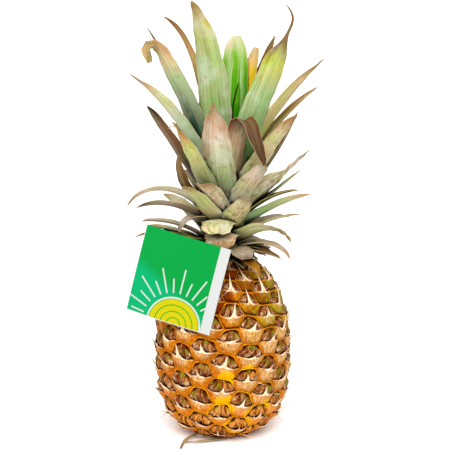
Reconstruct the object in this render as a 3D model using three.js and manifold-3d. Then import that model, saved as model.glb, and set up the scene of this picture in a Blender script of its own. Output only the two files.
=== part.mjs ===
// A fresh pineapple standing on its cut base, with its crown of leaves and a square card tag.
// Millimetres and degrees, +Z up. The origin is the middle of the flat that the fruit stands on.
// A bearing is measured round the fruit from its front (-Y), positive towards the right (+X).
import * as THREE from "three";
import { mergeVertices } from "three/addons/utils/BufferGeometryUtils.js";
import Module from "manifold-3d";

const wasm = await Module();
wasm.setup();

// ---- Driving dimensions ---------------------------------------------------------------------

const CLEARANCE = 0.3; // between pieces that touch
const FLOOR_SIZE = 200; // of the block that cuts the fruit flat at its base

const FRUIT = {
  radius: 54.5, // of the skin, at the widest ring
  waist: 71.5, // height of the widest ring
  above: 80.5, // from the widest ring to where the profile would close above
  below: 72.5, // and below it
  shoulders: 2.2, // exponent of the upper half's outline, where 2 is a plain ellipse
  squareness: 2.8, // and of the lower half's
};

const EYES = {
  lowest: -94, // eyes are numbered up the spiral, and eye 0 faces the front
  highest: 58,
  bearing: 5, // of eye 0
  turn: -99.853, // bearing from one eye to the next
  height: 109.6, // of eye 0, measured along the skin from the base
  rise: 1.15, // along the skin from one eye to the next
  crowding: -0.00056, // how fast that rise shrinks towards the crown
  outerRing: 0.74, // size of the ring of points inside the seam, as a share of the eye
  innerRing: 0.34, // and of the next one in
  seam: -2.2, // relief over the skin, outwards: the groove between eyes
  skirt: 0.7, // the papery bract's lower half
  dome: 1.2, // the sepals above it
  lip: 1.9, // the ring that the bract's point stands on
  point: 3.6, // the tip of the bract
  pointLift: 3.5, // how far the tip stands above the middle of its eye
};

const STEM = { foot: 140, top: 212, footRadius: 13, topRadius: 7 }; // inside the crown
const LEAF = {
  sunk: 3, // root depth in the stem
  thick: 1.4,
  tipThick: 0.8,
  trough: 0.2, // depth of the channel, as a share of the width
  shareAtFoot: 0.5, // width at the foot
  fullFrom: 0.25, // share of the length by which it is at its widest
  taperStart: 2.2, // exponent: larger keeps the width for longer
  taperEnd: 0.55, // exponent: smaller makes the tip blunter
  creaseLong: 0.1, // share of the length over which a crease bends
  ring: 26, // length of leaf between two rings of points
};
const SHOULDER_GAP = 2.6; // between the fruit's shoulder and the leaves that lie over it

// The leaves at the back, from the lowest to the highest: each is a golden angle on from the last.
const BACK = {
  count: 26,
  turn: 137.508,
  from: 124, // leaves nearer the front than this bearing are listed one by one
  seed: 4,
  foot: [150.5, 204],
  lean: [70, 12],
  tipLean: [118, 24],
  late: 1.4,
  long: [50, 112],
  wide: [15, 24],
};

const STALK = { radius: 14, height: 8 };
const STALK_BRACT = { bottom: 0.1, thick: 1.2, taper: 0.6 }; // dry bracts lying under the fruit
const CARD = {
  width: 72.5,
  height: 72,
  thick: 0.8,
  bowLeft: 3, // how far each edge curls back from the middle
  bowRight: 1.2,
  bowUp: 0.9,
  centre: [-36.4, -45.4, 140],
  bearing: -15, // of its face
  lean: 5, // its top leans back
  turn: -13.2, // in its own plane
};

// ---- Shared helpers -------------------------------------------------------------------------

const radians = THREE.MathUtils.degToRad;

function smooth(from, to, x) {
  return THREE.MathUtils.smoothstep(x, from, to);
}

function asSolid(geometry) {
  const bare = geometry.clone();
  bare.deleteAttribute("normal");
  bare.deleteAttribute("uv");
  const merged = mergeVertices(bare, 1e-4);
  return new wasm.Manifold(new wasm.Mesh({
    numProp: 3,
    vertProperties: new Float32Array(merged.attributes.position.array),
    triVerts: new Uint32Array(merged.index.array),
  }));
}

// The largest body of a solid: loose scraps and hollows sealed inside it are left out.
function largestBody(solid) {
  return solid.decompose().reduce((a, b) => (b.volume() > a.volume() ? b : a));
}

function asGeometry(solid) {
  const { vertProperties, triVerts } = solid.getMesh();
  const geometry = new THREE.BufferGeometry();
  geometry.setAttribute("position", new THREE.BufferAttribute(vertProperties, 3));
  geometry.setIndex(new THREE.BufferAttribute(triVerts, 1));
  geometry.computeVertexNormals();
  return geometry;
}

function fromTriangles(points, triangles) {
  const geometry = new THREE.BufferGeometry();
  geometry.setAttribute("position", new THREE.Float32BufferAttribute(points.flat(), 3));
  geometry.setIndex(triangles.flat());
  return geometry;
}

function onBearing(bearing, radius, z) {
  const b = radians(bearing);
  return [radius * Math.sin(b), -radius * Math.cos(b), z];
}

// A closed blade or strip from rings that go along one face and back along the other. Both faces
// are split along the same diagonals, so a curved blade keeps its thickness.
function fromRings(rings) {
  const size = rings[0].length;
  const last = (rings.length - 1) * size;
  const triangles = [];
  for (let i = 0; i < last; i += size) {
    for (let j = 0; j < size; j += 1) {
      const [p, q] = [i + j, i + ((j + 1) % size)];
      const split = j < size / 2 ? [q + size, p] : [p + size, q];
      triangles.push([p, q, split[0]], [split[1], q + size, p + size]);
    }
  }
  for (let j = 0; j < size / 2 - 1; j += 1) {
    const [p, q, r, s] = [j, j + 1, size - 2 - j, size - 1 - j];
    triangles.push([p, s, r], [p, r, q]);
    triangles.push([last + p, last + q, last + r], [last + p, last + r, last + s]);
  }
  return fromTriangles(rings.flat(), triangles);
}

// ---- Fruit ----------------------------------------------------------------------------------

function fruitRadius(z) {
  const high = z > FRUIT.waist;
  const share = high ? (z - FRUIT.waist) / FRUIT.above : (FRUIT.waist - z) / FRUIT.below;
  const power = high ? FRUIT.shoulders : FRUIT.squareness;
  return FRUIT.radius * Math.max(0, 1 - share ** power) ** (1 / power);
}

// The skin's profile as a list of [length along the skin from the base, radius, height].
const skin = [];
for (let z = FRUIT.waist - FRUIT.below; z <= FRUIT.waist + FRUIT.above; z += 0.25) {
  const r = fruitRadius(z);
  const before = skin.at(-1);
  skin.push([before ? before[0] + Math.hypot(r - before[1], z - before[2]) : 0, r, z]);
}
const base = skin.find((row) => row[2] >= 0)[0];
skin.forEach((row) => { row[0] -= base; });

// A point on the fruit, and its height over the skin is measured square to the profile.
function skinPoint(bearing, along, relief) {
  let i = skin.findIndex((row) => row[0] >= along);
  if (i < 0) i = skin.length - 1;
  i = Math.max(1, i);
  const [a, b] = [skin[i - 1], skin[i]];
  const t = THREE.MathUtils.clamp((along - a[0]) / (b[0] - a[0]), 0, 1);
  const length = Math.hypot(b[1] - a[1], b[2] - a[2]);
  const outwards = (b[2] - a[2]) / length;
  const upwards = (a[1] - b[1]) / length;
  const radius = a[1] + (b[1] - a[1]) * t + relief * outwards;
  return onBearing(bearing, Math.max(radius, 1), a[2] + (b[2] - a[2]) * t + relief * upwards);
}

// Eyes lie on a lattice: a counts along the 7 spirals that climb to the right, and b along the
// 11 that fall to the right. Going 11 steps of a and 7 of b leads once round to the same eye.
function latticePoint(a, b, relief, lift = 0) {
  const n = 7 * a - 11 * b;
  const bearing = EYES.bearing + a * (7 * EYES.turn + 720) - b * (11 * EYES.turn + 1080);
  const along = EYES.height + EYES.rise * n + EYES.crowding * n * n;
  return skinPoint(bearing, along + lift, relief);
}

// The six corners of an eye in thirds of a lattice step: right, top right, and so on round.
const CORNERS = [[1, 1], [2, -1], [1, -2], [-1, -1], [-2, 1], [-1, 2]];
const IS_LOW = [true, false, false, true, true, true];

function buildFruit() {
  const points = [];
  const triangles = [];
  const shared = new Map();
  const add = (point) => points.push(point) - 1;

  function corner(third, thirdB) {
    const rounds = Math.floor(third / 33);
    const [a, b] = [third - 33 * rounds, thirdB - 21 * rounds];
    const key = `${a},${b}`;
    if (!shared.has(key)) shared.set(key, add(latticePoint(a / 3, b / 3, EYES.seam)));
    return shared.get(key);
  }

  for (let n = EYES.lowest; n <= EYES.highest; n += 1) {
    const rounds = Math.round((8 * n) / 11);
    const [a, b] = [8 * n - 11 * rounds, 5 * n - 7 * rounds];
    const ring = (share, low, high) => CORNERS.map(([ca, cb], k) =>
      add(latticePoint(a + (share * ca) / 3, b + (share * cb) / 3, IS_LOW[k] ? low : high)));
    const rims = [
      CORNERS.map(([ca, cb]) => corner(3 * a + ca, 3 * b + cb)),
      ring(EYES.outerRing, EYES.skirt, EYES.dome),
      ring(EYES.innerRing, EYES.lip, EYES.dome),
    ];
    const tip = add(latticePoint(a, b, EYES.point, EYES.pointLift));
    for (let k = 0; k < 6; k += 1) {
      const next = (k + 1) % 6;
      for (const [outer, inner] of [[rims[0], rims[1]], [rims[1], rims[2]]]) {
        triangles.push([outer[k], outer[next], inner[next]], [outer[k], inner[next], inner[k]]);
      }
      triangles.push([rims[2][k], rims[2][next], tip]);
    }
  }

  // Each edge with one triangle only belongs to the rim at the base or at the crown.
  const edges = new Map();
  for (const [p, q, r] of triangles) {
    for (const [s, t] of [[p, q], [q, r], [r, p]]) {
      if (!edges.delete(`${t},${s}`)) edges.set(`${s},${t}`, [s, t]);
    }
  }
  const bottom = add([0, 0, FRUIT.waist - FRUIT.below - 2]);
  const top = add([0, 0, FRUIT.waist + FRUIT.above]);
  for (const [s, t] of edges.values()) {
    triangles.push([t, s, points[s][2] < FRUIT.waist ? bottom : top]);
  }
  return fromTriangles(points, triangles);
}

// ---- Crown ----------------------------------------------------------------------------------

// A leaf grows at a bearing from a foot height on the stem. It starts at a lean from upright and
// ends at another, and a large "late" keeps the bend near its tip. A crease adds a sharp fold.
function leaf(bearing, foot, lean, tipLean, late, long, wide, more = {}) {
  return {
    bearing, foot, lean, tipLean, late, long, wide,
    sway: 0, roll: 0, twist: 0, end: 0.07, trough: LEAF.trough,
    creaseAt: 1, crease: 0, dryFrom: 1, dryWidth: 0.4, ...more,
  };
}

const TALL = [
  leaf(-36, 200, 5, 38, 3.2, 167, 28, { roll: 25, dryFrom: 0.9, dryWidth: 0.7 }),
  leaf(135, 208, 7, 3, 1.5, 122, 27, { end: 0.45, roll: 40 }),
  leaf(70, 206, 20, 23.5, 1.0, 163, 25,
    { roll: -50, creaseAt: 0.88, crease: -65, dryFrom: 0.8, dryWidth: 0.18 }),
  leaf(-115, 208, 11, 64, 4.8, 148, 13, { roll: 60 }),
  leaf(-85, 202, 12, 30.5, 0.7, 150, 21,
    { roll: 50, end: 0.3, creaseAt: 0.845, crease: 160, dryFrom: 0.8, dryWidth: 0.85 }),
  leaf(-88, 203, 12, 31, 0.8, 146, 6, { roll: 50 }),
  leaf(-75, 196, 17, 56, 1.3, 130, 15, { roll: 40, dryFrom: 0.9 }),
  leaf(-96, 191, 35, 34, 1.0, 99, 16, { roll: 50, end: 0.2 }),
  leaf(95, 201, 26.5, 48, 1.5, 135, 19, { roll: -40, dryFrom: 0.9 }),
  leaf(115, 200, 35, 57, 1.4, 118, 20, { roll: -10 }),
  leaf(115, 208, 15, 24, 1.0, 128, 12, { roll: 40 }),
  leaf(100, 209, 14.5, 10, 1.0, 114, 18, { roll: 30, end: 0.6 }),
];

const MIDDLE = [
  leaf(-10, 180, 24, 16, 1.0, 109, 30, { dryFrom: 0.92, dryWidth: 0.5 }),
  leaf(-38, 182, 30, 36, 1.2, 94, 22),
  leaf(30, 186, 14.5, 15, 1.0, 124, 28,
    { sway: 18, creaseAt: 0.62, crease: 135, end: 0.15, dryFrom: 0.64, dryWidth: 0.78 }),
  leaf(62, 182, 26, 42, 1.0, 108, 21, { roll: -30 }),
  leaf(42, 177, 29, 50, 1.1, 70, 21, { end: 0.3, roll: -25 }),
  leaf(100, 188, 46, 22, 1.2, 98, 14),
  leaf(78, 178, 46, 46, 1.2, 90, 25, { roll: -32, dryFrom: 0.66, dryWidth: 0.32 }),
  leaf(92, 176, 54, 48, 1.4, 72, 10),
  leaf(80, 172, 42, 82, 1.5, 66, 13),
  leaf(72, 169, 52, 74, 1.4, 76, 14, { roll: -30 }),
  leaf(-80, 179, 44, 148, 1.9, 85, 16, { roll: 20 }),
  leaf(-86, 171, 44, 108, 1.2, 70, 18, { roll: 20 }),
  leaf(-38, 170, 32, 60, 1.2, 64, 24),
  leaf(-18, 174, 27, 70, 1.2, 66, 23, { end: 0.35 }),
  leaf(-60, 173, 38, 165, 1.4, 42, 14),
  leaf(-82, 184, 66, -4, 1.0, 62, 15, { roll: 40 }),
  leaf(-86, 188, 28, 21, 1.0, 84, 9, { roll: 30, creaseAt: 0.88, crease: 120, dryFrom: 0.8 }),
];

const LOW = [
  leaf(82, 165, 60, 82, 1.4, 60, 8),
  leaf(27, 167, 38, 50, 1.2, 54, 22, { roll: -15, dryFrom: 0.93, dryWidth: 0.5 }),
  leaf(-7, 173, 34, 132, 1.0, 46, 27, { end: 0.75, trough: -0.08 }),
  leaf(-2, 166, 46, 138, 1.1, 44, 27, { end: 0.65, trough: -0.08 }),
  leaf(62, 160, 58, 150, 2.6, 60, 24, { roll: -20, dryFrom: 0.66, dryWidth: 0.75 }),
  leaf(-72, 160, 52, 92, 1.3, 66, 14),
  leaf(-88, 156, 60, 86, 1.4, 58, 14),
  leaf(70, 155, 68, 150, 2.0, 54, 13),
  leaf(56, 153, 76, 106, 1.4, 48, 12),
  leaf(21, 156, 64, 118, 1.3, 45, 23, { end: 0.5, trough: 0 }),
  leaf(-30, 155, 62, 100, 1.3, 40, 15),
  leaf(-55, 157, 60, 90, 1.3, 44, 15),
  leaf(-84, 158, 64, 112, 1.6, 66, 9),
];

// Each leaf at the back is higher up than the last, steeper, longer and straighter, with a little
// seeded variation.
function backLeaves() {
  let state = BACK.seed;
  const vary = (spread) => {
    state = (state * 16807) % 2147483647;
    return spread * (state / 1073741823.5 - 1);
  };
  const blend = ([lowest, highest], up) => THREE.MathUtils.lerp(lowest, highest, up);
  const leaves = [];
  for (let i = 0; leaves.length < BACK.count; i += 1) {
    const bearing = ((i * BACK.turn + 180) % 360) - 180;
    if (Math.abs(bearing) < BACK.from) continue;
    const up = leaves.length / (BACK.count - 1);
    leaves.push(leaf(
      bearing,
      blend(BACK.foot, up),
      blend(BACK.lean, up ** 0.8) + vary(4),
      blend(BACK.tipLean, up ** 0.7) + vary(10),
      BACK.late,
      blend(BACK.long, up ** 1.1) * (1 + vary(0.12)),
      blend(BACK.wide, smooth(0, 0.5, up)) + vary(2.5),
      { sway: vary(8), roll: vary(14), twist: vary(16) },
    ));
  }
  return leaves;
}

function leafDirection(shape, s) {
  const crease = shape.crease * smooth(shape.creaseAt, shape.creaseAt + LEAF.creaseLong, s);
  const lean = radians(shape.lean + (shape.tipLean - shape.lean) * s ** shape.late + crease);
  const b = radians(shape.bearing + shape.sway * s);
  const outwards = new THREE.Vector3(Math.sin(b), -Math.cos(b), 0);
  const along = outwards.clone().multiplyScalar(Math.sin(lean));
  along.z = Math.cos(lean);
  const inwards = outwards.multiplyScalar(-Math.cos(lean));
  inwards.z = Math.sin(lean);
  const turn = radians(shape.roll + shape.twist * s);
  return { along, inwards: inwards.applyAxisAngle(along, turn) };
}

function leafWidth(shape, s) {
  const opening = Math.sin((Math.min(1, s / LEAF.fullFrom) * Math.PI) / 2);
  const foot = LEAF.shareAtFoot + (1 - LEAF.shareAtFoot) * opening;
  const taper = shape.end + (1 - shape.end) * (1 - s ** LEAF.taperStart) ** LEAF.taperEnd;
  const dry = smooth(shape.dryFrom - 0.1, shape.dryFrom + 0.05, s);
  return shape.wide * foot * taper * (1 - (1 - shape.dryWidth) * dry);
}

// Leaves that lie over the fruit's shoulder are lifted clear of it.
function aboveShoulder(point) {
  const r = Math.hypot(point.x, point.y);
  if (r >= FRUIT.radius) return point;
  const share = (1 - (r / FRUIT.radius) ** FRUIT.shoulders) ** (1 / FRUIT.shoulders);
  point.z = Math.max(point.z, FRUIT.waist + FRUIT.above * share + SHOULDER_GAP);
  return point;
}

function stemRadius(z) {
  return THREE.MathUtils.mapLinear(z, STEM.foot, STEM.top, STEM.footRadius, STEM.topRadius);
}

function buildLeaf(shape) {
  const fine = 6; // steps along the middle of the leaf for each ring
  const steps = fine * Math.round(2 + shape.long / LEAF.ring);
  const root = stemRadius(shape.foot) - LEAF.sunk;
  const middle = new THREE.Vector3(...onBearing(shape.bearing, root, shape.foot));
  const rings = [];
  for (let i = 0; i <= steps; i += 1) {
    const s = i / steps;
    const { along, inwards } = leafDirection(shape, s);
    if (i % fine === 0) {
      const sideways = new THREE.Vector3().crossVectors(along, inwards);
      const width = leafWidth(shape, s);
      const half = THREE.MathUtils.lerp(LEAF.thick, LEAF.tipThick, s) / 2;
      const at = (u, face) => aboveShoulder(middle.clone()
        .addScaledVector(sideways, (u * width) / 2)
        .addScaledVector(inwards, u * u * width * shape.trough + face * half)).toArray();
      rings.push([at(-1, 1), at(0, 1), at(1, 1), at(1, -1), at(0, -1), at(-1, -1)]);
    }
    middle.addScaledVector(along, shape.long / steps);
  }
  return fromRings(rings);
}

function buildStem() {
  const height = STEM.top - STEM.foot;
  const geometry = new THREE.CylinderGeometry(STEM.topRadius, STEM.footRadius, height, 16);
  geometry.rotateX(Math.PI / 2);
  geometry.translate(0, 0, STEM.foot + height / 2);
  return geometry;
}

// ---- Stalk and card -------------------------------------------------------------------------

function buildDisc(radius, bottom, height) {
  const geometry = new THREE.CylinderGeometry(radius, radius, height, 24);
  geometry.rotateX(Math.PI / 2);
  geometry.translate(0, 0, bottom + height / 2);
  return geometry;
}

// The dry bracts run out from the stalk, flat under the fruit, and some of them cross.
const STALK_BRACTS = [
  { wide: 3.4, route: [[-6, -4], [-16, -13], [-24.5, -25], [-31, -35.5], [-34.3, -51]] },
  { wide: 3.2, route: [[9, -10], [4, -26], [-11.5, -34.5], [-22, -37.5], [-32, -36.5]] },
  { wide: 2.6, route: [[-8, -2], [-12, -14], [-9.5, -24], [-5, -31]] },
  { wide: 3, route: [[10, 8], [24, 17], [38, 22]] },
];

// A strip lying flat along a route, between two heights.
function buildStrip({ wide, route }, margin, bottom, top) {
  const curve = new THREE.CatmullRomCurve3(route.map(([x, y]) => new THREE.Vector3(x, y, 0)));
  const steps = 10;
  const rings = [];
  for (let i = 0; i <= steps; i += 1) {
    const s = i / steps;
    const along = curve.getTangentAt(s);
    const half = (wide / 2) * (1 - STALK_BRACT.taper * s ** 3) + margin;
    const across = new THREE.Vector3(-along.y, along.x, 0).multiplyScalar(half);
    const [left, right] = [curve.getPointAt(s).add(across), curve.getPointAt(s).sub(across)];
    rings.push([
      [left.x, left.y, top], [right.x, right.y, top],
      [right.x, right.y, bottom], [left.x, left.y, bottom],
    ]);
  }
  return fromRings(rings);
}

function buildCard() {
  const geometry = new THREE.BoxGeometry(CARD.width, CARD.height, CARD.thick, 8, 6, 1);
  const place = geometry.attributes.position;
  for (let i = 0; i < place.count; i += 1) {
    const across = (2 * place.getX(i)) / CARD.width;
    const up = (2 * place.getY(i)) / CARD.height;
    const curl = (across < 0 ? CARD.bowLeft : CARD.bowRight) * across ** 2 + CARD.bowUp * up ** 2;
    place.setZ(i, place.getZ(i) - curl);
  }
  return geometry;
}

// ---- The pineapple --------------------------------------------------------------------------

const bractTop = STALK_BRACT.bottom + STALK_BRACT.thick;
const stalk = wasm.Manifold.union([
  asSolid(buildDisc(STALK.radius, 0, STALK.height)),
  ...STALK_BRACTS.map((bract) => asSolid(buildStrip(bract, 0, STALK_BRACT.bottom, bractTop))),
]);

// The fruit is cut flat, and it is hollowed for the stalk, its bracts and the crown's stem.
const cuts = [
  new THREE.BoxGeometry(FLOOR_SIZE, FLOOR_SIZE, FLOOR_SIZE).translate(0, 0, -FLOOR_SIZE / 2),
  buildDisc(STALK.radius + CLEARANCE, -1, STALK.height + 1 + CLEARANCE),
  buildDisc(STEM.footRadius + CLEARANCE, STEM.foot - CLEARANCE, STEM.top - STEM.foot),
  ...STALK_BRACTS.map((bract) => buildStrip(bract, CLEARANCE, -1, bractTop + CLEARANCE)),
];
const fruit = asSolid(buildFruit()).subtract(wasm.Manifold.union(cuts.map(asSolid)));

const leaves = [...TALL, ...MIDDLE, ...LOW, ...backLeaves()];
const crown = wasm.Manifold.union([buildStem(), ...leaves.map(buildLeaf)].map(asSolid));

function named(name, geometry, color, roughness) {
  const material = new THREE.MeshStandardMaterial({ color, roughness, metalness: 0 });
  const mesh = new THREE.Mesh(geometry, material);
  mesh.name = name;
  return mesh;
}

const pineapple = new THREE.Group();
pineapple.add(named("fruit", asGeometry(largestBody(fruit)), 0xc0782e, 0.6));
pineapple.add(named("crown", asGeometry(largestBody(crown)), 0x93a878, 0.6));
pineapple.add(named("stalk", asGeometry(largestBody(stalk)), 0x9a8258, 0.9));

const tag = named("tag", buildCard(), 0x06b850, 0.45);
tag.position.set(...CARD.centre);
tag.rotation.set(radians(90 - CARD.lean), 0, radians(CARD.bearing), "ZXY");
tag.rotateZ(radians(CARD.turn));
pineapple.add(tag);

export default pineapple;
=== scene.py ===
import math
import random

import bmesh
import bpy
import numpy as np
from bpy.props import FloatProperty, FloatVectorProperty, IntProperty, PointerProperty
from mathutils import Matrix, Vector
from mathutils.bvhtree import BVHTree


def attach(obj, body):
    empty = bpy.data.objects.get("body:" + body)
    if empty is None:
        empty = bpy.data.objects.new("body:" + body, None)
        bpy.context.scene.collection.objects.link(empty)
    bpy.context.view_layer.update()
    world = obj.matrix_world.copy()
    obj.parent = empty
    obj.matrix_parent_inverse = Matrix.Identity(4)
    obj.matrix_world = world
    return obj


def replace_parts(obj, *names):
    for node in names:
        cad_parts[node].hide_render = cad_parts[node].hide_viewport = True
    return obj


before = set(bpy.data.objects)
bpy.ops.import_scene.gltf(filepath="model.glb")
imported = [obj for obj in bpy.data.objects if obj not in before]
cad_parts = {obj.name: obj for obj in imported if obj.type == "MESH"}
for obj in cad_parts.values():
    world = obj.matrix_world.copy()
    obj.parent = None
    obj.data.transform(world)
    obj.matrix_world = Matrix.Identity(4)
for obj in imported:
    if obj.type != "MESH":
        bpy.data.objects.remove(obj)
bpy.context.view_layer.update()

bl_info = {
    "name": "Pineapple",
    "version": (1, 0, 0),
    "blender": (4, 5, 0),
    "location": "View3D > Sidebar > Pineapple",
    "description": "Dresses a pineapple: rind, bracts, crown, stalk, card and a plain studio",
    "category": "Add Mesh",
}

MM = 0.001
GOLDEN_ANGLE = 137.508  # in degrees
THIRD_TURN = 2.0944  # in radians

# ---- Sizes that every piece shares, in millimetres and degrees ----------------------------------
# A bearing is measured round the fruit from its front (-Y), positive towards the right (+X).

RADIUS = 54.5  # of the skin at its widest ring
WAIST = 71.5  # height of that ring
ABOVE, SHOULDERS = 80.5, 2.2  # the upper half's height and the exponent of its outline
BELOW, SQUARENESS = 72.5, 2.8  # the lower half's
LOWEST_EYE, HIGHEST_EYE = -94, 58
EYE_BEARING, EYE_TURN = 5.0, -99.853  # of eye 0, and from one eye to the next
EYE_HEIGHT, EYE_RISE, EYE_CROWDING = 109.6, 1.15, -0.00056  # along the skin from the base
HALF_EYE = 10.2  # half an eye's height, midway up the fruit
FULL_SIZE_RADIUS = 42  # of the skin from where on eyes have their full relief
RIM_RELIEF = -0.5  # of the edges between eyes
CREVICE_RELIEF = -1.4  # of the sepals at their feet
ARCH_WIDTH = 0.88  # of the arch over the sepals, as a share of an eye's width
LIP_THICK = 0.3  # of the free papery lips and spines
WELD = 0.02  # nearer points of neighbouring eyes are one point
SKIN_BOTTOM, SKIN_TOP = 0.2, 147  # heights of the two points that close the skin
# Bearing, height and radius of the ripest patches of the skin.
RIPE_PATCHES = [
    (2, 38, 11), (2.5, 61, 9), (20, 15, 11), (7.5, 18.5, 8), (-43, 18.5, 8), (28, 28, 9),
    (22, 66, 7), (43, 34, 7), (96, 24, 9), (140, 40, 8), (172, 18, 9), (-150, 46, 8),
    (-104, 26, 8), (-126, 14, 7),
]
THREAD_REACH, THREAD_LOWEST = 60.5, 0.4  # from the fruit's axis, and above the floor
FRUIT_SHADE_REACH, CROWN_SHADE_REACH = 5, 22  # reach of the painted shade: how near a surface is that closes another in
RAY_START, RAY_SLOPE = 0.25, 0.12  # off the surface, and the least cosine with its normal

STEM_FOOT, STEM_TOP, STEM_FOOT_RADIUS, STEM_TOP_RADIUS = 140, 212, 13, 7
LEAF_SUNK = 3  # root depth in the stem
SHOULDER_GAP = 2.6  # between the fruit's shoulder and the leaves that lie over it
BACK_LEAVES, BACK_FROM = 26, 124  # how many, and the bearing that they start at on either side
NECK_LEAVES = 34

STALK_RADIUS, STALK_HEIGHT = 14, 8
STALK_BRACT_THICK, STALK_BRACT_LOWEST = 0.6, 0.45

CARD_WIDTH, CARD_HEIGHT = 72.5, 72
CARD_CENTRE = (-36.4, -45.4, 140)
CARD_BEARING, CARD_LEAN, CARD_TURN = -15, 5, -13.2
CARD_BOW_LEFT, CARD_BOW_RIGHT, CARD_BOW_UP = 3, 1.2, 0.9

AIM = (1.8, 0, 175.3)  # what the camera looks at
CAMERA_DISTANCE, CAMERA_ELEVATION, CAMERA_LENS = 1400, 12.3, 136.6
SHOWN = 0.73  # a surface's own colour, as a share of the one that the studio's lights show


def colour(code):
    """Linear red, green and blue of a hexadecimal display colour."""
    parts = [int(code[i : i + 2], 16) / 255 for i in (0, 2, 4)]
    return tuple(c / 12.92 if c <= 0.04045 else ((c + 0.055) / 1.055) ** 2.4 for c in parts)


def smooth(low, high, x):
    """A smooth step from 0 to 1 as x goes from low to high."""
    t = np.clip((x - low) / (high - low), 0, 1) if high > low else np.where(x < low, 0.0, 1.0)
    return t * t * (3 - 2 * t)


# ---- Settings -----------------------------------------------------------------------------------


def length(name, description, size):
    return FloatProperty(name=name, description=description, default=size * MM, unit="LENGTH")


def tint(name, description, code):
    return FloatVectorProperty(
        name=name, description=description, subtype="COLOR", size=3, min=0, max=1,
        default=colour(code),
    )


class PineappleRindSettings(bpy.types.PropertyGroup):
    seam_depth: length("Seam depth", "Depth of the grooves between eyes", 2.2)
    lip_height: length("Lip height", "How far a bract's lip stands out", 2.5)
    dome_height: length("Dome height", "How far the sepals bulge", 1.1)
    spine_length: length("Spine length", "Length of a bract's point", 7.5)
    seed: IntProperty(name="Seed", description="Draws the variation from eye to eye", default=11)
    orange: tint("Orange", "Flanks of the bracts", "f4960c")
    yellow: tint("Yellow", "Ripe patches", "ffc400")
    cream: tint("Cream", "Papery lips and spines", "ffe8c8")
    tan: tint("Tan", "Middle of a bract", "eea030")
    sepal: tint("Sepal", "Dry sepals", "ac622a")
    olive: tint("Olive", "Unripe tops of the sepals", "86801a")
    # The crevice colour is the seams' own deep brown made near black as painted shade.
    crevice: tint("Crevice", "Deep seams", "250b02")


class PineappleCrownSettings(bpy.types.PropertyGroup):
    thickness: length("Thickness", "Of a leaf along its middle", 1.4)
    step: length("Step", "Length of the faces along a leaf", 3.6)
    across: IntProperty(name="Faces across", description="Faces across a leaf", default=8, min=4)
    seed: IntProperty(
        name="Seed", description="Draws the waves and stains of the leaves", default=5
    )
    bloom: tint("Bloom", "Pale waxy scurf on the leaves", "d4d8ca")
    stain: tint("Stain", "Brown spots and torn edges", "80541c")


class PineappleCardSettings(bpy.types.PropertyGroup):
    thickness: length("Thickness", "Of the card", 0.6)
    green: tint("Green", "Main print colour", "008c38")
    turquoise: tint("Turquoise", "Lower left print colour", "009a5e")
    sun: tint("Sun", "Half sun", "b8ae06")
    paper: tint("Paper", "Bare card", "bcbebc")


class PineappleStageSettings(bpy.types.PropertyGroup):
    key: FloatProperty(name="Key", description="Strength of the soft key light", default=3.2)
    sky: FloatProperty(name="Sky", description="Strength of the light from all round", default=0.9)
    floor: tint("Floor", "Plain pale floor", "f6f6f5")


def settings(group):
    """What a user has set, or the defaults, for one group."""
    return getattr(bpy.context.scene, "pineapple_" + group)


# ---- Node trees ---------------------------------------------------------------------------------


class Value:
    """One output in a node tree. Arithmetic on it adds Math nodes to the tree."""

    def __init__(self, tree, socket):
        self.tree, self.socket = tree, socket

    def __add__(self, other):
        return self.tree.math("ADD", self, other)

    def __sub__(self, other):
        return self.tree.math("SUBTRACT", self, other)

    def __rsub__(self, other):
        return self.tree.math("SUBTRACT", other, self)

    def __mul__(self, other):
        return self.tree.math("MULTIPLY", self, other)

    def __abs__(self):
        return self.tree.math("ABSOLUTE", self)

    def __gt__(self, other):
        return self.tree.math("GREATER_THAN", self, other)

    def __lt__(self, other):
        return self.tree.math("LESS_THAN", self, other)

    def fraction(self):
        return self.tree.math("FRACT", self)

    def ramp(self, low, high, start=0.0, end=1.0):
        """A smooth step from start to end as the value goes from low to high."""
        inputs = {"Value": self, "From Min": low, "From Max": high, "To Min": start, "To Max": end}
        return self.tree.value("ShaderNodeMapRange", inputs, interpolation_type="SMOOTHSTEP")


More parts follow.
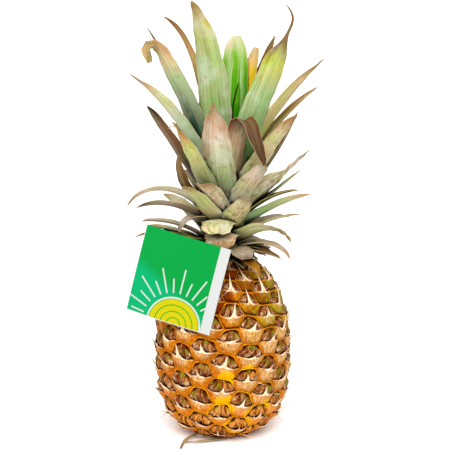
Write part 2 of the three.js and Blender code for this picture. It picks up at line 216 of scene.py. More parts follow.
class Tree:
    """Short calls that add nodes to a tree. They take numbers, colours and other nodes' values."""

    def __init__(self, tree):
        self.tree = tree

    def node(self, kind, inputs=(), **options):
        node = self.tree.nodes.new(kind)
        row, column = divmod(len(self.tree.nodes), 12)
        node.location = (190 * column, -240 * row)
        for key, value in options.items():
            setattr(node, key, value)
        for key, value in dict(inputs).items():
            self.put(node.inputs[key], value)
        return node

    def value(self, kind, inputs=(), output=0, **options):
        return Value(self, self.node(kind, inputs, **options).outputs[output])

    def put(self, socket, value):
        if isinstance(value, Value):
            self.tree.links.new(value.socket, socket)
        elif socket.type == "RGBA":
            parts = colour(value) if isinstance(value, str) else tuple(value)
            socket.default_value = (*parts[:3], 1)
        else:
            socket.default_value = value

    def math(self, operation, a, b=0.0):
        return self.value("ShaderNodeMath", {0: a, 1: b}, operation=operation)

    def least(self, a, b):
        return self.math("MINIMUM", a, b)

    def most(self, a, b):
        return self.math("MAXIMUM", a, b)

    def join(self, x, y, z=0.0):
        return self.value("ShaderNodeCombineXYZ", {0: x, 1: y, 2: z})

    def split(self, vector):
        return [Value(self, out) for out in self.node("ShaderNodeSeparateXYZ", {0: vector}).outputs]

    def place(self):
        return self.value("ShaderNodeTexCoord", output="Object")

    def uv(self, name):
        return self.value("ShaderNodeUVMap", uv_map=name)

    def layer(self, name, output="Color"):
        return self.value("ShaderNodeVertexColor", output=output, layer_name=name)

    def mix(self, share, a, b, blend="MIX"):
        return self.value(
            "ShaderNodeMix", {0: share, 6: a, 7: b}, 2, data_type="RGBA", blend_type=blend
        )

    def coats(self, body, *coats):
        """A body colour under coats laid over it in turn, each a share, a colour and any blend."""
        for share, *coat in coats:
            body = self.mix(share, body, *coat)
        return body

    def noise(self, vector, scale, detail=3.0, roughness=0.55, seed=0.0):
        inputs = {
            "Vector": vector, "W": seed, "Scale": scale, "Detail": detail, "Roughness": roughness,
        }
        return self.value("ShaderNodeTexNoise", inputs, noise_dimensions="4D")

    def fibres(self, vector, across, along, seed):
        inputs = {"Vector": vector, "Across": across, "Along": along, "Seed": seed}
        return self.value("ShaderNodeGroup", inputs, node_tree=fibre_group())

    def blotches(self, vector, scale, amount, softness, seed):
        inputs = {
            "Vector": vector, "Scale": scale, "Amount": amount, "Softness": softness, "Seed": seed,
        }
        return self.value("ShaderNodeGroup", inputs, node_tree=blotch_group())


def new_group(name, inputs):
    """An empty node group with named inputs and a mask for its output: its Tree, inputs, outlet."""
    tree = bpy.data.node_groups.new(name, "ShaderNodeTree")
    for label, default in inputs.items():
        kind = "NodeSocketVector" if isinstance(default, tuple) else "NodeSocketFloat"
        socket = tree.interface.new_socket(name=label, in_out="INPUT", socket_type=kind)
        socket.default_value = default
    tree.interface.new_socket(name="Mask", in_out="OUTPUT", socket_type="NodeSocketFloat")
    builder = Tree(tree)
    given = {
        socket.name: Value(builder, socket) for socket in builder.node("NodeGroupInput").outputs
    }
    return builder, given, builder.node("NodeGroupOutput").inputs[0]


def fibre_group():
    """Fine threads that run along the second axis of a vector."""
    if "Fibres" in bpy.data.node_groups:
        return bpy.data.node_groups["Fibres"]
    inputs = {"Vector": (0, 0, 0), "Across": 40.0, "Along": 3.0, "Seed": 0.0}
    tree, given, out = new_group("Fibres", inputs)
    x, y, _ = tree.split(given["Vector"])
    stretched = tree.join(x * given["Across"], y * given["Along"])
    coarse = tree.noise(stretched, 0.5, 2, 0.5, given["Seed"])
    fine = tree.noise(stretched, 1.6, 3, 0.6, given["Seed"] + 7)
    tree.put(out, (coarse * 0.55 + fine * 0.45).ramp(0.34, 0.66))
    return tree.tree


def blotch_group():
    """Soft patches: more of them as Amount goes from 0 to 1."""
    if "Blotches" in bpy.data.node_groups:
        return bpy.data.node_groups["Blotches"]
    inputs = {"Vector": (0, 0, 0), "Scale": 10.0, "Amount": 0.5, "Softness": 0.1, "Seed": 0.0}
    tree, given, out = new_group("Blotches", inputs)
    value = tree.noise(given["Vector"], given["Scale"], 4, 0.6, given["Seed"])
    middle = 0.75 - given["Amount"] * 0.5
    tree.put(out, value.ramp(middle - given["Softness"], middle + given["Softness"]))
    return tree.tree


class Surface(Tree):
    """The tree of a new material, around a Principled shader."""

    def __init__(self, name, roughness, gloss=0.25, translucent=0.0):
        self.material = bpy.data.materials.new(name)
        self.material.use_nodes = True
        super().__init__(self.material.node_tree)
        self.tree.nodes.clear()
        inputs = {
            "Roughness": roughness, "Specular IOR Level": gloss, "Subsurface Weight": translucent,
        }
        inputs.update({"Subsurface Radius": (0.004, 0.003, 0.0015), "Subsurface Scale": 0.5})
        shader = self.node("ShaderNodeBsdfPrincipled", inputs)
        self.shader = shader.inputs
        self.node("ShaderNodeOutputMaterial", {"Surface": Value(self, shader.outputs[0])})

    def painted_gap_shade(self, body, code, open_from):
        """The body colour, darkened by another where the surface is closed in: painted shade in the
        gaps.
        """
        return self.mix(self.layer("openness").ramp(0.05, open_from, 1, 0), body, code, "MULTIPLY")

    def paint(self, shown):
        """Colours are given as the studio shows them: its lights are brighter than full white."""
        self.put(self.shader["Base Color"], self.mix(1.0, shown, (SHOWN, SHOWN, SHOWN), "MULTIPLY"))

    def roughen(self, value, low, high):
        self.put(self.shader["Roughness"], value.ramp(0, 1, low, high))

    def bump(self, height, distance, strength=1.0):
        inputs = {"Height": height, "Distance": distance, "Strength": strength}
        self.put(self.shader["Normal"], self.value("ShaderNodeBump", inputs))


# ---- The rind's surface -------------------------------------------------------------------------


def skin_table():
    """Length along the skin from the base, radius, height and outward direction, base to top."""
    z = np.arange(WAIST - BELOW, WAIST + ABOVE + 0.01, 0.1)
    share = np.where(z > WAIST, (z - WAIST) / ABOVE, (WAIST - z) / BELOW)
    power = np.where(z > WAIST, SHOULDERS, SQUARENESS)
    r = RADIUS * np.maximum(0, 1 - share**power) ** (1 / power)
    along = np.concatenate([[0], np.cumsum(np.hypot(np.diff(r), np.diff(z)))])
    along -= np.interp(0, z, along)
    slope_r, slope_z = np.gradient(r, along), np.gradient(z, along)
    return along, r, z, slope_z, -slope_r


SKIN = skin_table()


def skin_points(bearing, along, relief):
    """Points on the fruit in millimetres, at a relief measured square to its skin."""
    r, z, out, up = (np.interp(along, SKIN[0], column) for column in SKIN[1:])
    radius, b = np.maximum(r + relief * out, 1), np.radians(bearing)
    height = np.maximum(z + relief * up, 0)
    return np.stack([radius * np.sin(b), -radius * np.cos(b), height], -1)


def eye_place(n, u, v):
    """Bearing, and length along the skin, of a point in eye n. Its corners are at u = -1 and 1."""
    rounds = round(8 * n / 11)
    a, b = 8 * n - 11 * rounds + u / 3 + v / 2, 5 * n - 7 * rounds + u / 3 - v / 2
    m = 7 * a - 11 * b
    bearing = EYE_BEARING + a * (7 * EYE_TURN + 720) - b * (11 * EYE_TURN + 1080)
    return bearing, EYE_HEIGHT + EYE_RISE * m + EYE_CROWDING * m * m


def uneven(bearing, along):
    """Growth isn't even: where a place on the lattice really ends up on the skin."""
    b = np.radians(bearing)
    shift = 1.3 * np.sin(3 * b + along / 16) + 0.9 * np.sin(7 * b - along / 10 + 1)
    rise = 1.0 * np.sin(4 * b + along / 13 + 2) + 0.7 * np.sin(9 * b - along / 9)
    return bearing + shift, along + rise * smooth(0, 20, along) * (1 - smooth(130, 150, along))


def eye_points(n, u, v, relief):
    """Points of eye n in metres. Eyes near the ends are smaller, and their relief shrinks too."""
    bearing, along = uneven(*eye_place(n, u, v))
    size = np.clip(np.interp(along, SKIN[0], SKIN[1]) / FULL_SIZE_RADIUS, 0.3, 1)
    return skin_points(bearing, along, relief * size) * MM


def arch_height(u):
    """Height of the arch that frames the sepals, as a share of the way from the lip to the rim."""
    return 0.9 * np.sqrt(np.maximum(0, 1 - np.abs(u / ARCH_WIDTH) ** 2.2))


class Eye:
    """One eye's own variation, drawn once, so that all the pieces in it agree."""

    def __init__(self, n):
        look = settings("rind")
        draw = random.Random(look.seed * 1000 + n)
        self.n = n
        self.bearing, self.along = eye_place(n, 0.0, 0.0)
        self.lip = look.lip_height / MM * draw.uniform(0.8, 1.15)
        self.dome = look.dome_height / MM * draw.uniform(0.75, 1.2)
        self.seam = look.seam_depth / MM
        self.tilt = draw.uniform(-0.05, 0.05)
        self.drop = draw.uniform(0.14, 0.25)
        self.tone = tuple(draw.random() for _ in range(4))
        self.draw = draw

    def lip_line(self, u):
        """Where the bract's lip crosses the eye: lowest in the middle, and up to both corners."""
        return (self.tilt * u - self.drop) * (1 - np.abs(u) ** 3)

    def edges(self, u):
        """Where the lip and the eye's upper edge are."""
        return self.lip_line(u), np.minimum(1, 2 - 2 * np.abs(u))

    def bract_relief(self, u, q):
        """Relief below the lip. q goes from 0 at the eye's lower edge to 1 at the lip."""
        middle = 1 - np.abs(u) ** 2.5
        ridge = 0.6 * np.exp(-((u / 0.11) ** 2)) * q
        return RIM_RELIEF + (self.lip - RIM_RELIEF) * middle * q**0.8 + ridge

    def dome_relief(self, u, f):
        """Relief above the lip.
        f is 0 at the lip, 1 in the crevice over the sepals and 2 at the rim."""
        swell = np.sin(np.pi * np.clip((f - 0.04) / 0.9, 0, 1)) ** 0.7
        bulge = CREVICE_RELIEF + (self.dome - CREVICE_RELIEF) * swell
        rim = -self.seam + (RIM_RELIEF + self.seam) * smooth(1.0, 1.35, f)
        value = np.where(f < 0.94, bulge, np.where(f < 1.0, np.minimum(bulge, -self.seam), rim))
        return RIM_RELIEF + (value - RIM_RELIEF) * (1 - np.abs(u) ** 4)

    def upper(self, u, f):
        """Where a point above the lip is across the eye."""
        lip, top = self.edges(u)
        arch = arch_height(u)
        return lip + (top - lip) * np.where(f < 1, arch * f, arch + (1 - arch) * (f - 1))

    def relief(self, u, v):
        lip, top = self.edges(u)
        p = np.clip((v - lip) / np.maximum(top - lip, 1e-6), 0, 1)
        arch = np.maximum(arch_height(u), 1e-3)
        f = np.where(p < arch, p / arch, 1 + (p - arch) / (1 - arch))
        below = self.bract_relief(u, np.clip((v + top) / np.maximum(lip + top, 1e-6), 0, 1))
        return np.where(v > lip, self.dome_relief(u, f), below)


def all_eyes():
    return [Eye(n) for n in range(LOWEST_EYE, HIGHEST_EYE + 1)]


# ---- Mesh helpers -------------------------------------------------------------------------------


def select_only(*objects):
    bpy.ops.object.select_all(action="DESELECT")
    for obj in objects:
        obj.select_set(True)
    bpy.context.view_layer.objects.active = objects[0]


def joined(objects):
    select_only(*objects)
    bpy.ops.object.join()
    return bpy.context.active_object


def apply_modifier(obj, kind, **options):
    modifier = obj.modifiers.new(kind.title(), kind)
    for key, value in options.items():
        setattr(modifier, key, value)
    select_only(obj)
    bpy.ops.object.modifier_apply(modifier=modifier.name)


def new_object(name, points, faces):
    """A new object from points in metres."""
    mesh = bpy.data.meshes.new(name)
    mesh.from_pydata(np.asarray(points, float).reshape(-1, 3).tolist(), [], faces)
    mesh.validate()
    obj = bpy.data.objects.new(name, mesh)
    bpy.context.scene.collection.objects.link(obj)
    return obj


def finished(obj, name, material, angle):
    """Name a piece, give it its material and body, and smooth it up to an angle between faces."""
    obj.name = obj.data.name = name
    obj.data.materials.clear()
    obj.data.materials.append(material)
    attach(obj, "root")
    select_only(obj)
    bpy.ops.object.shade_smooth_by_angle(angle=math.radians(angle))
    return obj


def at_corners(mesh, per_vertex):
    """What is given for each vertex, repeated for each face corner."""
    corners = np.empty(len(mesh.loops), int)
    mesh.loops.foreach_get("vertex_index", corners)
    return np.asarray(per_vertex, float)[corners].ravel()


def store_uv(mesh, name, u, v):
    """A UV map from arrays that go from -1 to 1 across it, and from 0 to 1 up it."""
    layer = mesh.uv_layers.new(name=name)
    layer.uv.foreach_set(
        "vector", at_corners(mesh, np.stack([np.ravel(u) / 2 + 0.5, np.ravel(v)], -1))
    )


def store_tone(mesh, name, per_vertex):
    """A colour on each face corner, from four values or one for each vertex, or four for all."""
    layer = mesh.color_attributes.new(name, "FLOAT_COLOR", "CORNER")
    layer.data.foreach_set(
        "color", at_corners(mesh, np.broadcast_to(per_vertex, (len(mesh.vertices), 4)))
    )


def grid_faces(rows, columns):
    """Faces of a grid whose points are listed row by row."""
    faces = []
    for i in range(rows - 1):
        for j in range(columns - 1):
            p = i * columns + j
            faces.append((p, p + 1, p + columns + 1, p + columns))
    return faces


def laid_grid(points, uv_name, u, v):
    """A primitive grid moved onto rows of points in millimetres, with a UV map from u and v."""
    rows, columns = points.shape[:2]
    bpy.ops.object.select_all(action="DESELECT")
    bpy.ops.mesh.primitive_grid_add(x_subdivisions=columns - 1, y_subdivisions=rows - 1, size=1)
    obj = bpy.context.active_object
    obj.data.vertices.foreach_set("co", (points * MM).ravel())
    obj.data.update()
    for layer in list(obj.data.uv_layers):
        obj.data.uv_layers.remove(layer)
    store_uv(obj.data, uv_name, u, v)
    return obj


def store_openness(objects, reach, rays=28):
    """How much of the space around each point nothing closes off within reach: 0 deep in a gap. It
    sets where shade is painted.
    """
    points, faces = [], []
    for obj in objects:
        faces += [tuple(len(points) + i for i in face.vertices) for face in obj.data.polygons]
        points += [vertex.co for vertex in obj.data.vertices]
    solid = BVHTree.FromPolygons(points, faces)
    turn = np.arange(rays) * math.pi * (3 - math.sqrt(5))
    height = 1 - (2 * np.arange(rays) + 1) / rays
    ring = np.sqrt(1 - height**2)
    ways = np.stack([ring * np.cos(turn), ring * np.sin(turn), height], -1)
    directions = [Vector(way) for way in ways]
    for obj in objects:
        mesh = obj.data
        normals = np.empty(len(mesh.vertices) * 3)
        mesh.vertex_normals.foreach_get("vector", normals)
        normals = normals.reshape(-1, 3)
        facing = np.maximum(normals @ ways.T, 0)
        openness = np.empty(len(mesh.vertices))
        for i, vertex in enumerate(mesh.vertices):
            start = vertex.co + Vector(normals[i]) * RAY_START * MM
            seen = np.flatnonzero(facing[i] > RAY_SLOPE)
            free = [
                facing[i, k] for k in seen if solid.ray_cast(start, directions[k], reach)[0] is None
            ]
            openness[i] = sum(free) / max(facing[i, seen].sum(), 1e-6)
        store_tone(mesh, "openness", openness[:, None])


# ---- Fruit --------------------------------------------------------------------------------------


class Patchwork:
    """Gathers small meshes into one object, with a UV map, and one tone for each of them."""

    def __init__(self):
        self.count, self.points, self.faces, self.u, self.v, self.tones = 0, [], [], [], [], []

    def add(self, points, faces, u, v, tone):
        """Take in a mesh whose faces number its own points."""
        points = points.reshape(-1, 3)
        self.points.append(points)
        self.faces += [tuple(self.count + i for i in face) for face in faces]
        self.u.append(np.ravel(u))
        self.v.append(np.ravel(v))
        self.tones.append(np.broadcast_to(tone, (len(points), 4)))
        self.count += len(points)

    def sewn(self, name, uv_name, tone_name):
        obj = new_object(name, np.concatenate(self.points), self.faces)
        store_uv(obj.data, uv_name, np.concatenate(self.u), np.concatenate(self.v))
        store_tone(obj.data, tone_name, np.concatenate(self.tones))
        return obj

    def store_ripeness(self, mesh):
        """How far inside a ripe patch each point is: 1 in its middle, 0 on its edge, -1 far out."""
        points = np.concatenate(self.points)
        value = np.full(len(points), -1.0)
        for bearing, height, radius in RIPE_PATCHES:
            b = math.radians(bearing)
            r = np.interp(height, SKIN[2], SKIN[1])
            middle = np.array([r * math.sin(b), -r * math.cos(b), height])
            value = np.maximum(value, 1 - np.linalg.norm(points / MM - middle, axis=1) / radius)
        store_tone(mesh, "ripeness", value[:, None])


def rind_material():
    look = settings("rind")
    rind = Surface("rind", 0.5, gloss=0.015, translucent=0.05)
    place, eye = rind.place(), rind.uv("Eye")
    yellowness, darkness_and_shade, chance = rind.split(rind.layer("eye_tone"))
    # The shoulder's share also paints the crown's shade on the skin under it.
    shoulder = rind.layer("eye_tone", "Alpha")
    across, _, height = rind.split(place)
    x, y, _ = rind.split(eye)
    u = abs(x * 2 - 1)  # 0 in an eye's middle, 1 at its corners
    q = rind.least(y * 2, 1)  # up the bract, to 1 at its lip
    f = rind.most(y * 4 - 2, 0)  # above the lip, 1 in the crevice and 2 at the rim
    seed = chance * 30
    fibres = rind.fibres(eye, 30, 6, seed)
    threads = rind.fibres(eye, 56, 4, seed + 4)
    specks = rind.blotches(place, 520, 0.5, 0.08, 9)
    patches = rind.blotches(place, 52, yellowness, 0.07, 3)
    dark_and_shaded_patches = rind.blotches(place, 60, darkness_and_shade, 0.12, 1)
    ruddy = rind.blotches(place, 36, 0.5, 0.12, 8)
    ragged = (rind.noise(place, 300, 3, 0.6) - 0.5) * 0.5

    edge = across.ramp(0.026, 0.04)
    unripe = across.ramp(0.006, 0.028) * height.ramp(0.08, 0.11) * ragged.ramp(-0.1, 0.06, 0.1, 1)
    unripe = unripe * rind.most(ruddy.ramp(0.8, 0.2, 0.3, 1), edge)
    greenish = rind.mix(edge, "ccb41c", "a8b41c")
    flank = rind.coats(
        look.orange,
        (fibres * 0.7, "bc5a06"),
        (threads.ramp(0.6, 0.95, 0, 0.5), "ffb84c"),
        (ruddy * 0.35, "c84c06"),
        (patches, look.yellow),
        # Up the shoulder the flanks turn deeper orange and brown: partly their own colour there,
        # partly painted shade of the crown.
        (shoulder * 0.7, rind.mix(fibres, "e89414", "a44c08")),
        (unripe * 0.8, greenish),
    )

    papery = ((chance * 5).fraction() - 0.5) * 0.3
    under = q * u.ramp(0.95, 0.15, 0.12, 1.08) + ragged + papery
    # Painted light and shade: the bracts turn paler towards the right, where the light falls, and
    # less pale up the shoulder in the crown's shade.
    under = under + across.ramp(-0.01, 0.04, 0, 0.42) - shoulder * 0.55
    # Low on the fruit the bracts turn a brighter orange: partly riper skin, partly painted light
    # from the floor.
    low = (height + ragged * 0.1).ramp(0.05, 0.02)
    ripe = (rind.layer("ripeness") + ragged * 2).ramp(0.05, 0.35)
    gold = rind.mix(threads * 0.5, look.yellow, "ee9c08")
    crack = q.ramp(0.12, 0.02) + ragged * 3
    bract = rind.coats(
        flank,
        (under.ramp(0.12, 0.45), rind.mix(threads * 0.9, look.tan, "a44c0c")),
        (under.ramp(0.42, 0.8), rind.mix(threads, "fcd896", "d88a34")),
        # The skin's own blotches, with painted shade: more of them on shaded eyes and up the
        # shoulder.
        (dark_and_shaded_patches * (shoulder * 0.5 + 0.4), "8a3c10", "MULTIPLY"),
        (specks * 0.45, "8a3000"),
        # Brighter orange low down: riper skin and painted light from the floor.
        (low * 0.65, rind.mix(fibres, "ff9a18", "e86804")),
        (unripe * 0.5, greenish),
        (ripe * 0.85, gold),
        # Painted shade: near black low in the bracts up the shoulder, under the crown.
        (q.ramp(0.4, 0.05) * shoulder.ramp(0, 0.5), "2a0e02"),
        (crack.ramp(0.55, 0.9, 0, 0.75), "7c2400"),
    )
    # The rim between eyes, a cleaner orange than the flanks: partly its own colour, partly a
    # painted highlight where its edge catches the light.
    rim = rind.coats(rind.mix(0.6, flank, look.orange), (fibres * 0.7, "8c3204"), (ripe, gold))
    # The crevice over the sepals: its own deep brown, made near black as painted shade.
    pit_and_shade = rind.mix(fibres, "2c0a00", "5c1c02")
    over = rind.mix((f + ragged).ramp(1.06, 1.38), pit_and_shade, rim)
    # Painted shade: the skin turns a deep red brown where it is closed in.
    rind.paint(rind.painted_gap_shade(rind.mix(f > 0, bract, over), "7a2c04", 0.45))
    rind.roughen(fibres, 0.34, 0.6)
    rind.bump(fibres + specks * -0.8, 0.0004, 0.8)
    return rind.material


def eye_tone(eye):
    """How yellow an eye is, how much darker, its own chance, and how far up the shoulder it grows.
    How much darker is partly the skin's own and partly painted shade.
    """
    b = math.radians(eye.bearing)
    low = float(1 - smooth(35, 95, eye.along))
    facing = 0.5 + 0.5 * math.cos(b - math.radians(25))
    yellow = 0.12 + 0.5 * low * facing + 0.3 * (eye.tone[0] - 0.5)
    left = 0.5 - 0.5 * math.sin(b)
    # How far up the shoulder: it also sets the painted shade of the crown there.
    shoulder = float(smooth(112, 145, eye.along))
    # Painted shade, with the skin's own: eyes on the left, away from the light, and up the shoulder
    # under the crown are darker.
    dark = 0.14 + 0.2 * left * (1 - facing) + 0.4 * shoulder + 0.2 * eye.tone[1]
    return (min(1, max(0, yellow)), min(1, dark), eye.tone[2], shoulder)


def build_rind():
    """The grown skin: every eye is a lens of fine faces with a bract below and a dome above."""
    flat, sloped, below = 10, 7, 7
    above = (0.04, 0.14, 0.3, 0.48, 0.66, 0.82, 0.92, 0.99, 1.0, 1.15, 1.4, 2.0)
    u = np.concatenate([
        np.linspace(-1, -0.5, sloped + 1)[:-1],
        np.linspace(-0.5, 0.5, flat + 1),
        np.linspace(0.5, 1, sloped + 1)[1:],
    ])
    skin = Patchwork()
    for eye in all_eyes():
        lip, top = eye.edges(u)
        rows, levels = [], []
        for j in range(below + 1):
            q = (j / below) ** 0.85
            rows.append(eye_points(eye.n, u, -top + (lip + top) * q, eye.bract_relief(u, q)))
            levels.append(q / 2)
        for f in above:
            rows.append(eye_points(eye.n, u, eye.upper(u, f), eye.dome_relief(u, f)))
            levels.append(0.5 + f / 4)
        grid_u, grid_y = np.meshgrid(u, levels)
        skin.add(np.stack(rows), grid_faces(len(rows), len(u)), grid_u, grid_y, eye_tone(eye))
    obj = skin.sewn("fruit_rind", "Eye", "eye_tone")
    skin.store_ripeness(obj.data)
    weld_and_close(obj.data)
    return finished(obj, "fruit_rind", rind_material(), 55)


def weld_and_close(mesh):
    """Join the eyes where they meet, and close the skin at its bottom and its top."""
    bm = bmesh.new()
    bm.from_mesh(mesh)
    bmesh.ops.remove_doubles(bm, verts=bm.verts, dist=WELD * MM)
    bmesh.ops.dissolve_degenerate(bm, edges=bm.edges, dist=WELD / 2 * MM)
    open_edges = [edge for edge in bm.edges if edge.is_boundary]
    for is_top, height in ((False, SKIN_BOTTOM), (True, SKIN_TOP)):
        centre = bm.verts.new((0, 0, height * MM))
        for edge in open_edges:
            if (edge.verts[0].co.z > WAIST * MM) == is_top:
                bm.faces.new((*edge.verts, centre))
    bmesh.ops.recalc_face_normals(bm, faces=bm.faces)
    bm.to_mesh(mesh)
    bm.free()


def sepal_template():
    """Half a bead: a primitive sphere cut level under its middle, in units of its radius."""
    bpy.ops.object.select_all(action="DESELECT")
    bpy.ops.mesh.primitive_uv_sphere_add(segments=12, ring_count=8, radius=1)
    obj = bpy.context.active_object
    bpy.ops.object.mode_set(mode="EDIT")
    bpy.ops.mesh.select_all(action="SELECT")
    bpy.ops.mesh.bisect(plane_co=(0, 0, -0.1), plane_no=(0, 0, 1), clear_inner=True, use_fill=True)
    bpy.ops.object.mode_set(mode="OBJECT")
    mesh = obj.data
    points = np.array([vertex.co[:] for vertex in mesh.vertices])
    faces = [tuple(face.vertices) for face in mesh.polygons]
    bpy.data.objects.remove(obj)
    bpy.data.meshes.remove(mesh)
    return points, faces


def sepal_material():
    look = settings("rind")
    dry = Surface("sepals", 0.5, gloss=0.015)
    place, sepal = dry.place(), dry.uv("Sepal")
    green, pale, chance = dry.split(dry.layer("sepal_tone"))
    v = dry.split(sepal)[1]
    height = dry.split(place)[2]
    seed = chance * 30
    fibres = dry.fibres(sepal, 16, 3, seed)
    ribs = dry.fibres(sepal, 9, 1.2, seed + 5)
    wrinkles = dry.fibres(sepal, 30, 4, seed + 9)
    mottle = dry.blotches(place, 330, 0.5, 0.1, 5)
    # Low on the fruit the sepals turn a lighter tan orange: partly riper, partly painted light from
    # the floor.
    low = height.ramp(0.048, 0.018)
    # Painted highlights on the sepals' own pale pinkish ribs, whitest low on each sepal.
    light = ribs * mottle * pale.ramp(0, 1, 0.8, 1)
    pale_ribs_and_highlights = dry.mix(v.ramp(0.75, 0.25), "cc9c58", "ffdab4")
    greened = green * low.ramp(0.9, 0.1) * v.ramp(0.3, 0.75)
    inputs = {0: sepal, 1: (0.5, 0.5, 0)}
    radius = dry.value("ShaderNodeVectorMath", inputs, "Value", operation="DISTANCE") * 2
    body = dry.coats(
        # Lighter tan orange low down: riper sepals and painted light from the floor.
        dry.mix(fibres, "6e2a06", look.sepal),
        (low * 0.6, "e48c34"),
        (dry.layer("ripeness").ramp(-0.2, 0.4, 0, 0.6), "f0962c"),
        # Pale ribs and painted highlights, more orange low on the fruit.
        (light, dry.mix(low * 0.7, pale_ribs_and_highlights, "f8a850")),
        (greened, look.olive),
        (ribs.ramp(0.48, 0.12, 0, 0.9), "541800"),
        (wrinkles.ramp(0.45, 0.1, 0, 0.7), "501802"),
        # Each sepal's edge fades into the crevice colour: the seams' own brown and painted shade.
        (radius.ramp(0.76, 1), look.crevice),
    )
    # Painted shade: the sepals turn a deep brown where they are closed in.
    dry.paint(dry.painted_gap_shade(body, "8a3c10", 0.4))
    dry.roughen(fibres, 0.35, 0.6)
    dry.bump(ribs + fibres * 0.4, 0.0005, 0.9)
    return dry.material


# Of each sepal in an eye: its side, its middle, its half width and half height, turn and lift.
SEPALS = (
    (0, 0.0, 0.56, 0.42, 0.36, 0, 0.0),
    (-1, -0.33, 0.26, 0.42, 0.5, 20, 0.3),
    (1, 0.33, 0.26, 0.42, 0.5, -20, 0.3),
)


def build_sepals():
    """Three dry sepals fold over the middle of each eye."""
    shape, shape_faces = sepal_template()
    shape_x, y, h = shape.T
    x = shape_x * (1 - 0.4 * y)
    sepals = Patchwork()
    for eye in all_eyes():
        draw = eye.draw
        green_side = draw.choice((-1, 0, 1))
        for side, middle_u, middle_v, wide, tall, turn, lift in SEPALS:
            scale = draw.uniform(0.9, 1.12)
            angle = math.radians(turn + draw.uniform(-12, 12))
            ridge = 1 + 0.45 * np.exp(-(((x + 0.15 * side) / 0.2) ** 2)) * (h > 0)
            u = middle_u + scale * (wide * (x * math.cos(angle) + y * math.sin(angle)))
            v = middle_v + scale * (tall * (y * math.cos(angle) - x * math.sin(angle)))
            u = np.maximum(side * u, 0.015) * side if side else u
            v = np.maximum(v, eye.lip_line(np.clip(u, -1, 1)) + 0.03)
            relief = eye.relief(np.clip(u, -0.99, 0.99), np.clip(v, -0.97, 0.97))
            relief = np.maximum(relief, -1.3) + lift * draw.uniform(0.6, 1.4) + h * ridge - 0.45
            green = draw.uniform(0.5, 1) if side == green_side else draw.uniform(-0.3, 0.3)
            tone = (max(0, green), draw.random(), draw.random(), 1)
            sepals.add(eye_points(eye.n, u, v, relief), shape_faces, shape_x, y / 2 + 0.5, tone)
    obj = sepals.sewn("fruit_sepals", "Sepal", "sepal_tone")
    sepals.store_ripeness(obj.data)
    return finished(obj, "fruit_sepals", sepal_material(), 50)


def bract_material():
    look = settings("rind")
    paper = Surface("papery bracts", 0.5, gloss=0.03)
    place, bract = paper.place(), paper.uv("Bract")
    stained, chance, _ = paper.split(paper.layer("bract_tone"))
    crowding_and_shade = paper.layer("bract_tone", "Alpha")
    u, v, _ = paper.split(bract)
    fibres = paper.fibres(bract, 26, 3, chance * 30)
    stains = paper.blotches(place, 190, stained, 0.08, 2)
    lip = paper.mix(fibres.ramp(0.1, 0.6), "f0c27c", "d88c34")
    # Up the shoulder the lips turn golden brown: partly their own drier colour, partly painted
    # shade of the crown.
    lip = paper.mix(crowding_and_shade * 0.8, lip, "c07c18")
    spine = paper.mix(fibres.ramp(0.6, 0, 0, 0.6), look.cream, look.tan)
    foot = paper.mix(fibres, look.orange, look.tan)
    body = paper.mix(v.ramp(0.1, 0.4), foot, paper.mix(abs(u - 0.5).ramp(0.32, 0.12), lip, spine))
    body = paper.mix(stains * 0.65, body, "a5622a")
    # Painted shade: the bracts turn a deep brown where they are closed in.
    paper.paint(paper.painted_gap_shade(body, "a05a28", 0.35))
    paper.roughen(fibres, 0.4, 0.6)
    paper.bump(fibres, 0.0002, 0.8)
    return paper.material


def build_bracts():
    """The free papery edge of each bract, with the spine that rises over the sepals."""
    look = settings("rind")
    columns, rows = 19, 6
    half = 0.3  # of a spine's root, as a share of half an eye's width
    sunk = 0.1  # of the lip's root below the lip line, as a share of half an eye's height
    t = np.linspace(-1, 1, columns)
    x = np.sign(t) * np.abs(t) ** 1.7
    levels = [j / (rows - 1) for j in range(rows)]
    grid_x, grid_y = np.meshgrid(x, levels)
    bracts = Patchwork()
    for eye in all_eyes():
        draw = eye.draw
        # How crowded the eyes are up the shoulder: it lengthens the spines and sets painted shade
        # on the lips.
        crowding_and_shade = float(smooth(115, 155, eye.along))
        long = look.spine_length / MM / HALF_EYE * draw.uniform(0.6, 1.5) * (1 + 0.5 * crowding_and_shade)
        slant = draw.gauss(0, 0.2)
        broken = draw.random() < 0.15
        flare = 1.0 + 2.0 * draw.random() ** 2
        spine = np.maximum(0, 1 - np.abs(x) / half) ** 2.1
        lip = 0.11 + 0.05 * np.sin(9 * x + draw.uniform(0, 6)) * draw.uniform(0.2, 1)
        height = lip * (1 - np.abs(x) ** 4) + spine * long * (0.35 if broken else 1)
        tone = (draw.uniform(0.15, 0.5), eye.tone[2], eye.tone[3], crowding_and_shade)
        root = eye.bract_relief(0.9 * x, 0.93)
        points = []
        for y in levels:
            u = 0.9 * x + slant * spine * y**1.4 * long / 0.6
            u = u * np.where(np.abs(x) < half, 1 - 0.35 * y * (1 - np.abs(x) / half), 1)
            v = eye.lip_line(0.9 * x) - sunk * (1 - np.abs(x) ** 3) + (height + sunk) * y
            relief = root - 0.35 + 0.5 * y + (0.9 * y + 1.1 * y**2) * spine * flare
            points.append(eye_points(eye.n, u, v, relief))
        bracts.add(np.stack(points), grid_faces(rows, columns), grid_x, grid_y, tone)
    obj = bracts.sewn("fruit_bracts", "Bract", "bract_tone")
    apply_modifier(obj, "SOLIDIFY", thickness=LIP_THICK * MM, offset=0)
    return finished(obj, "fruit_bracts", bract_material(), 60)


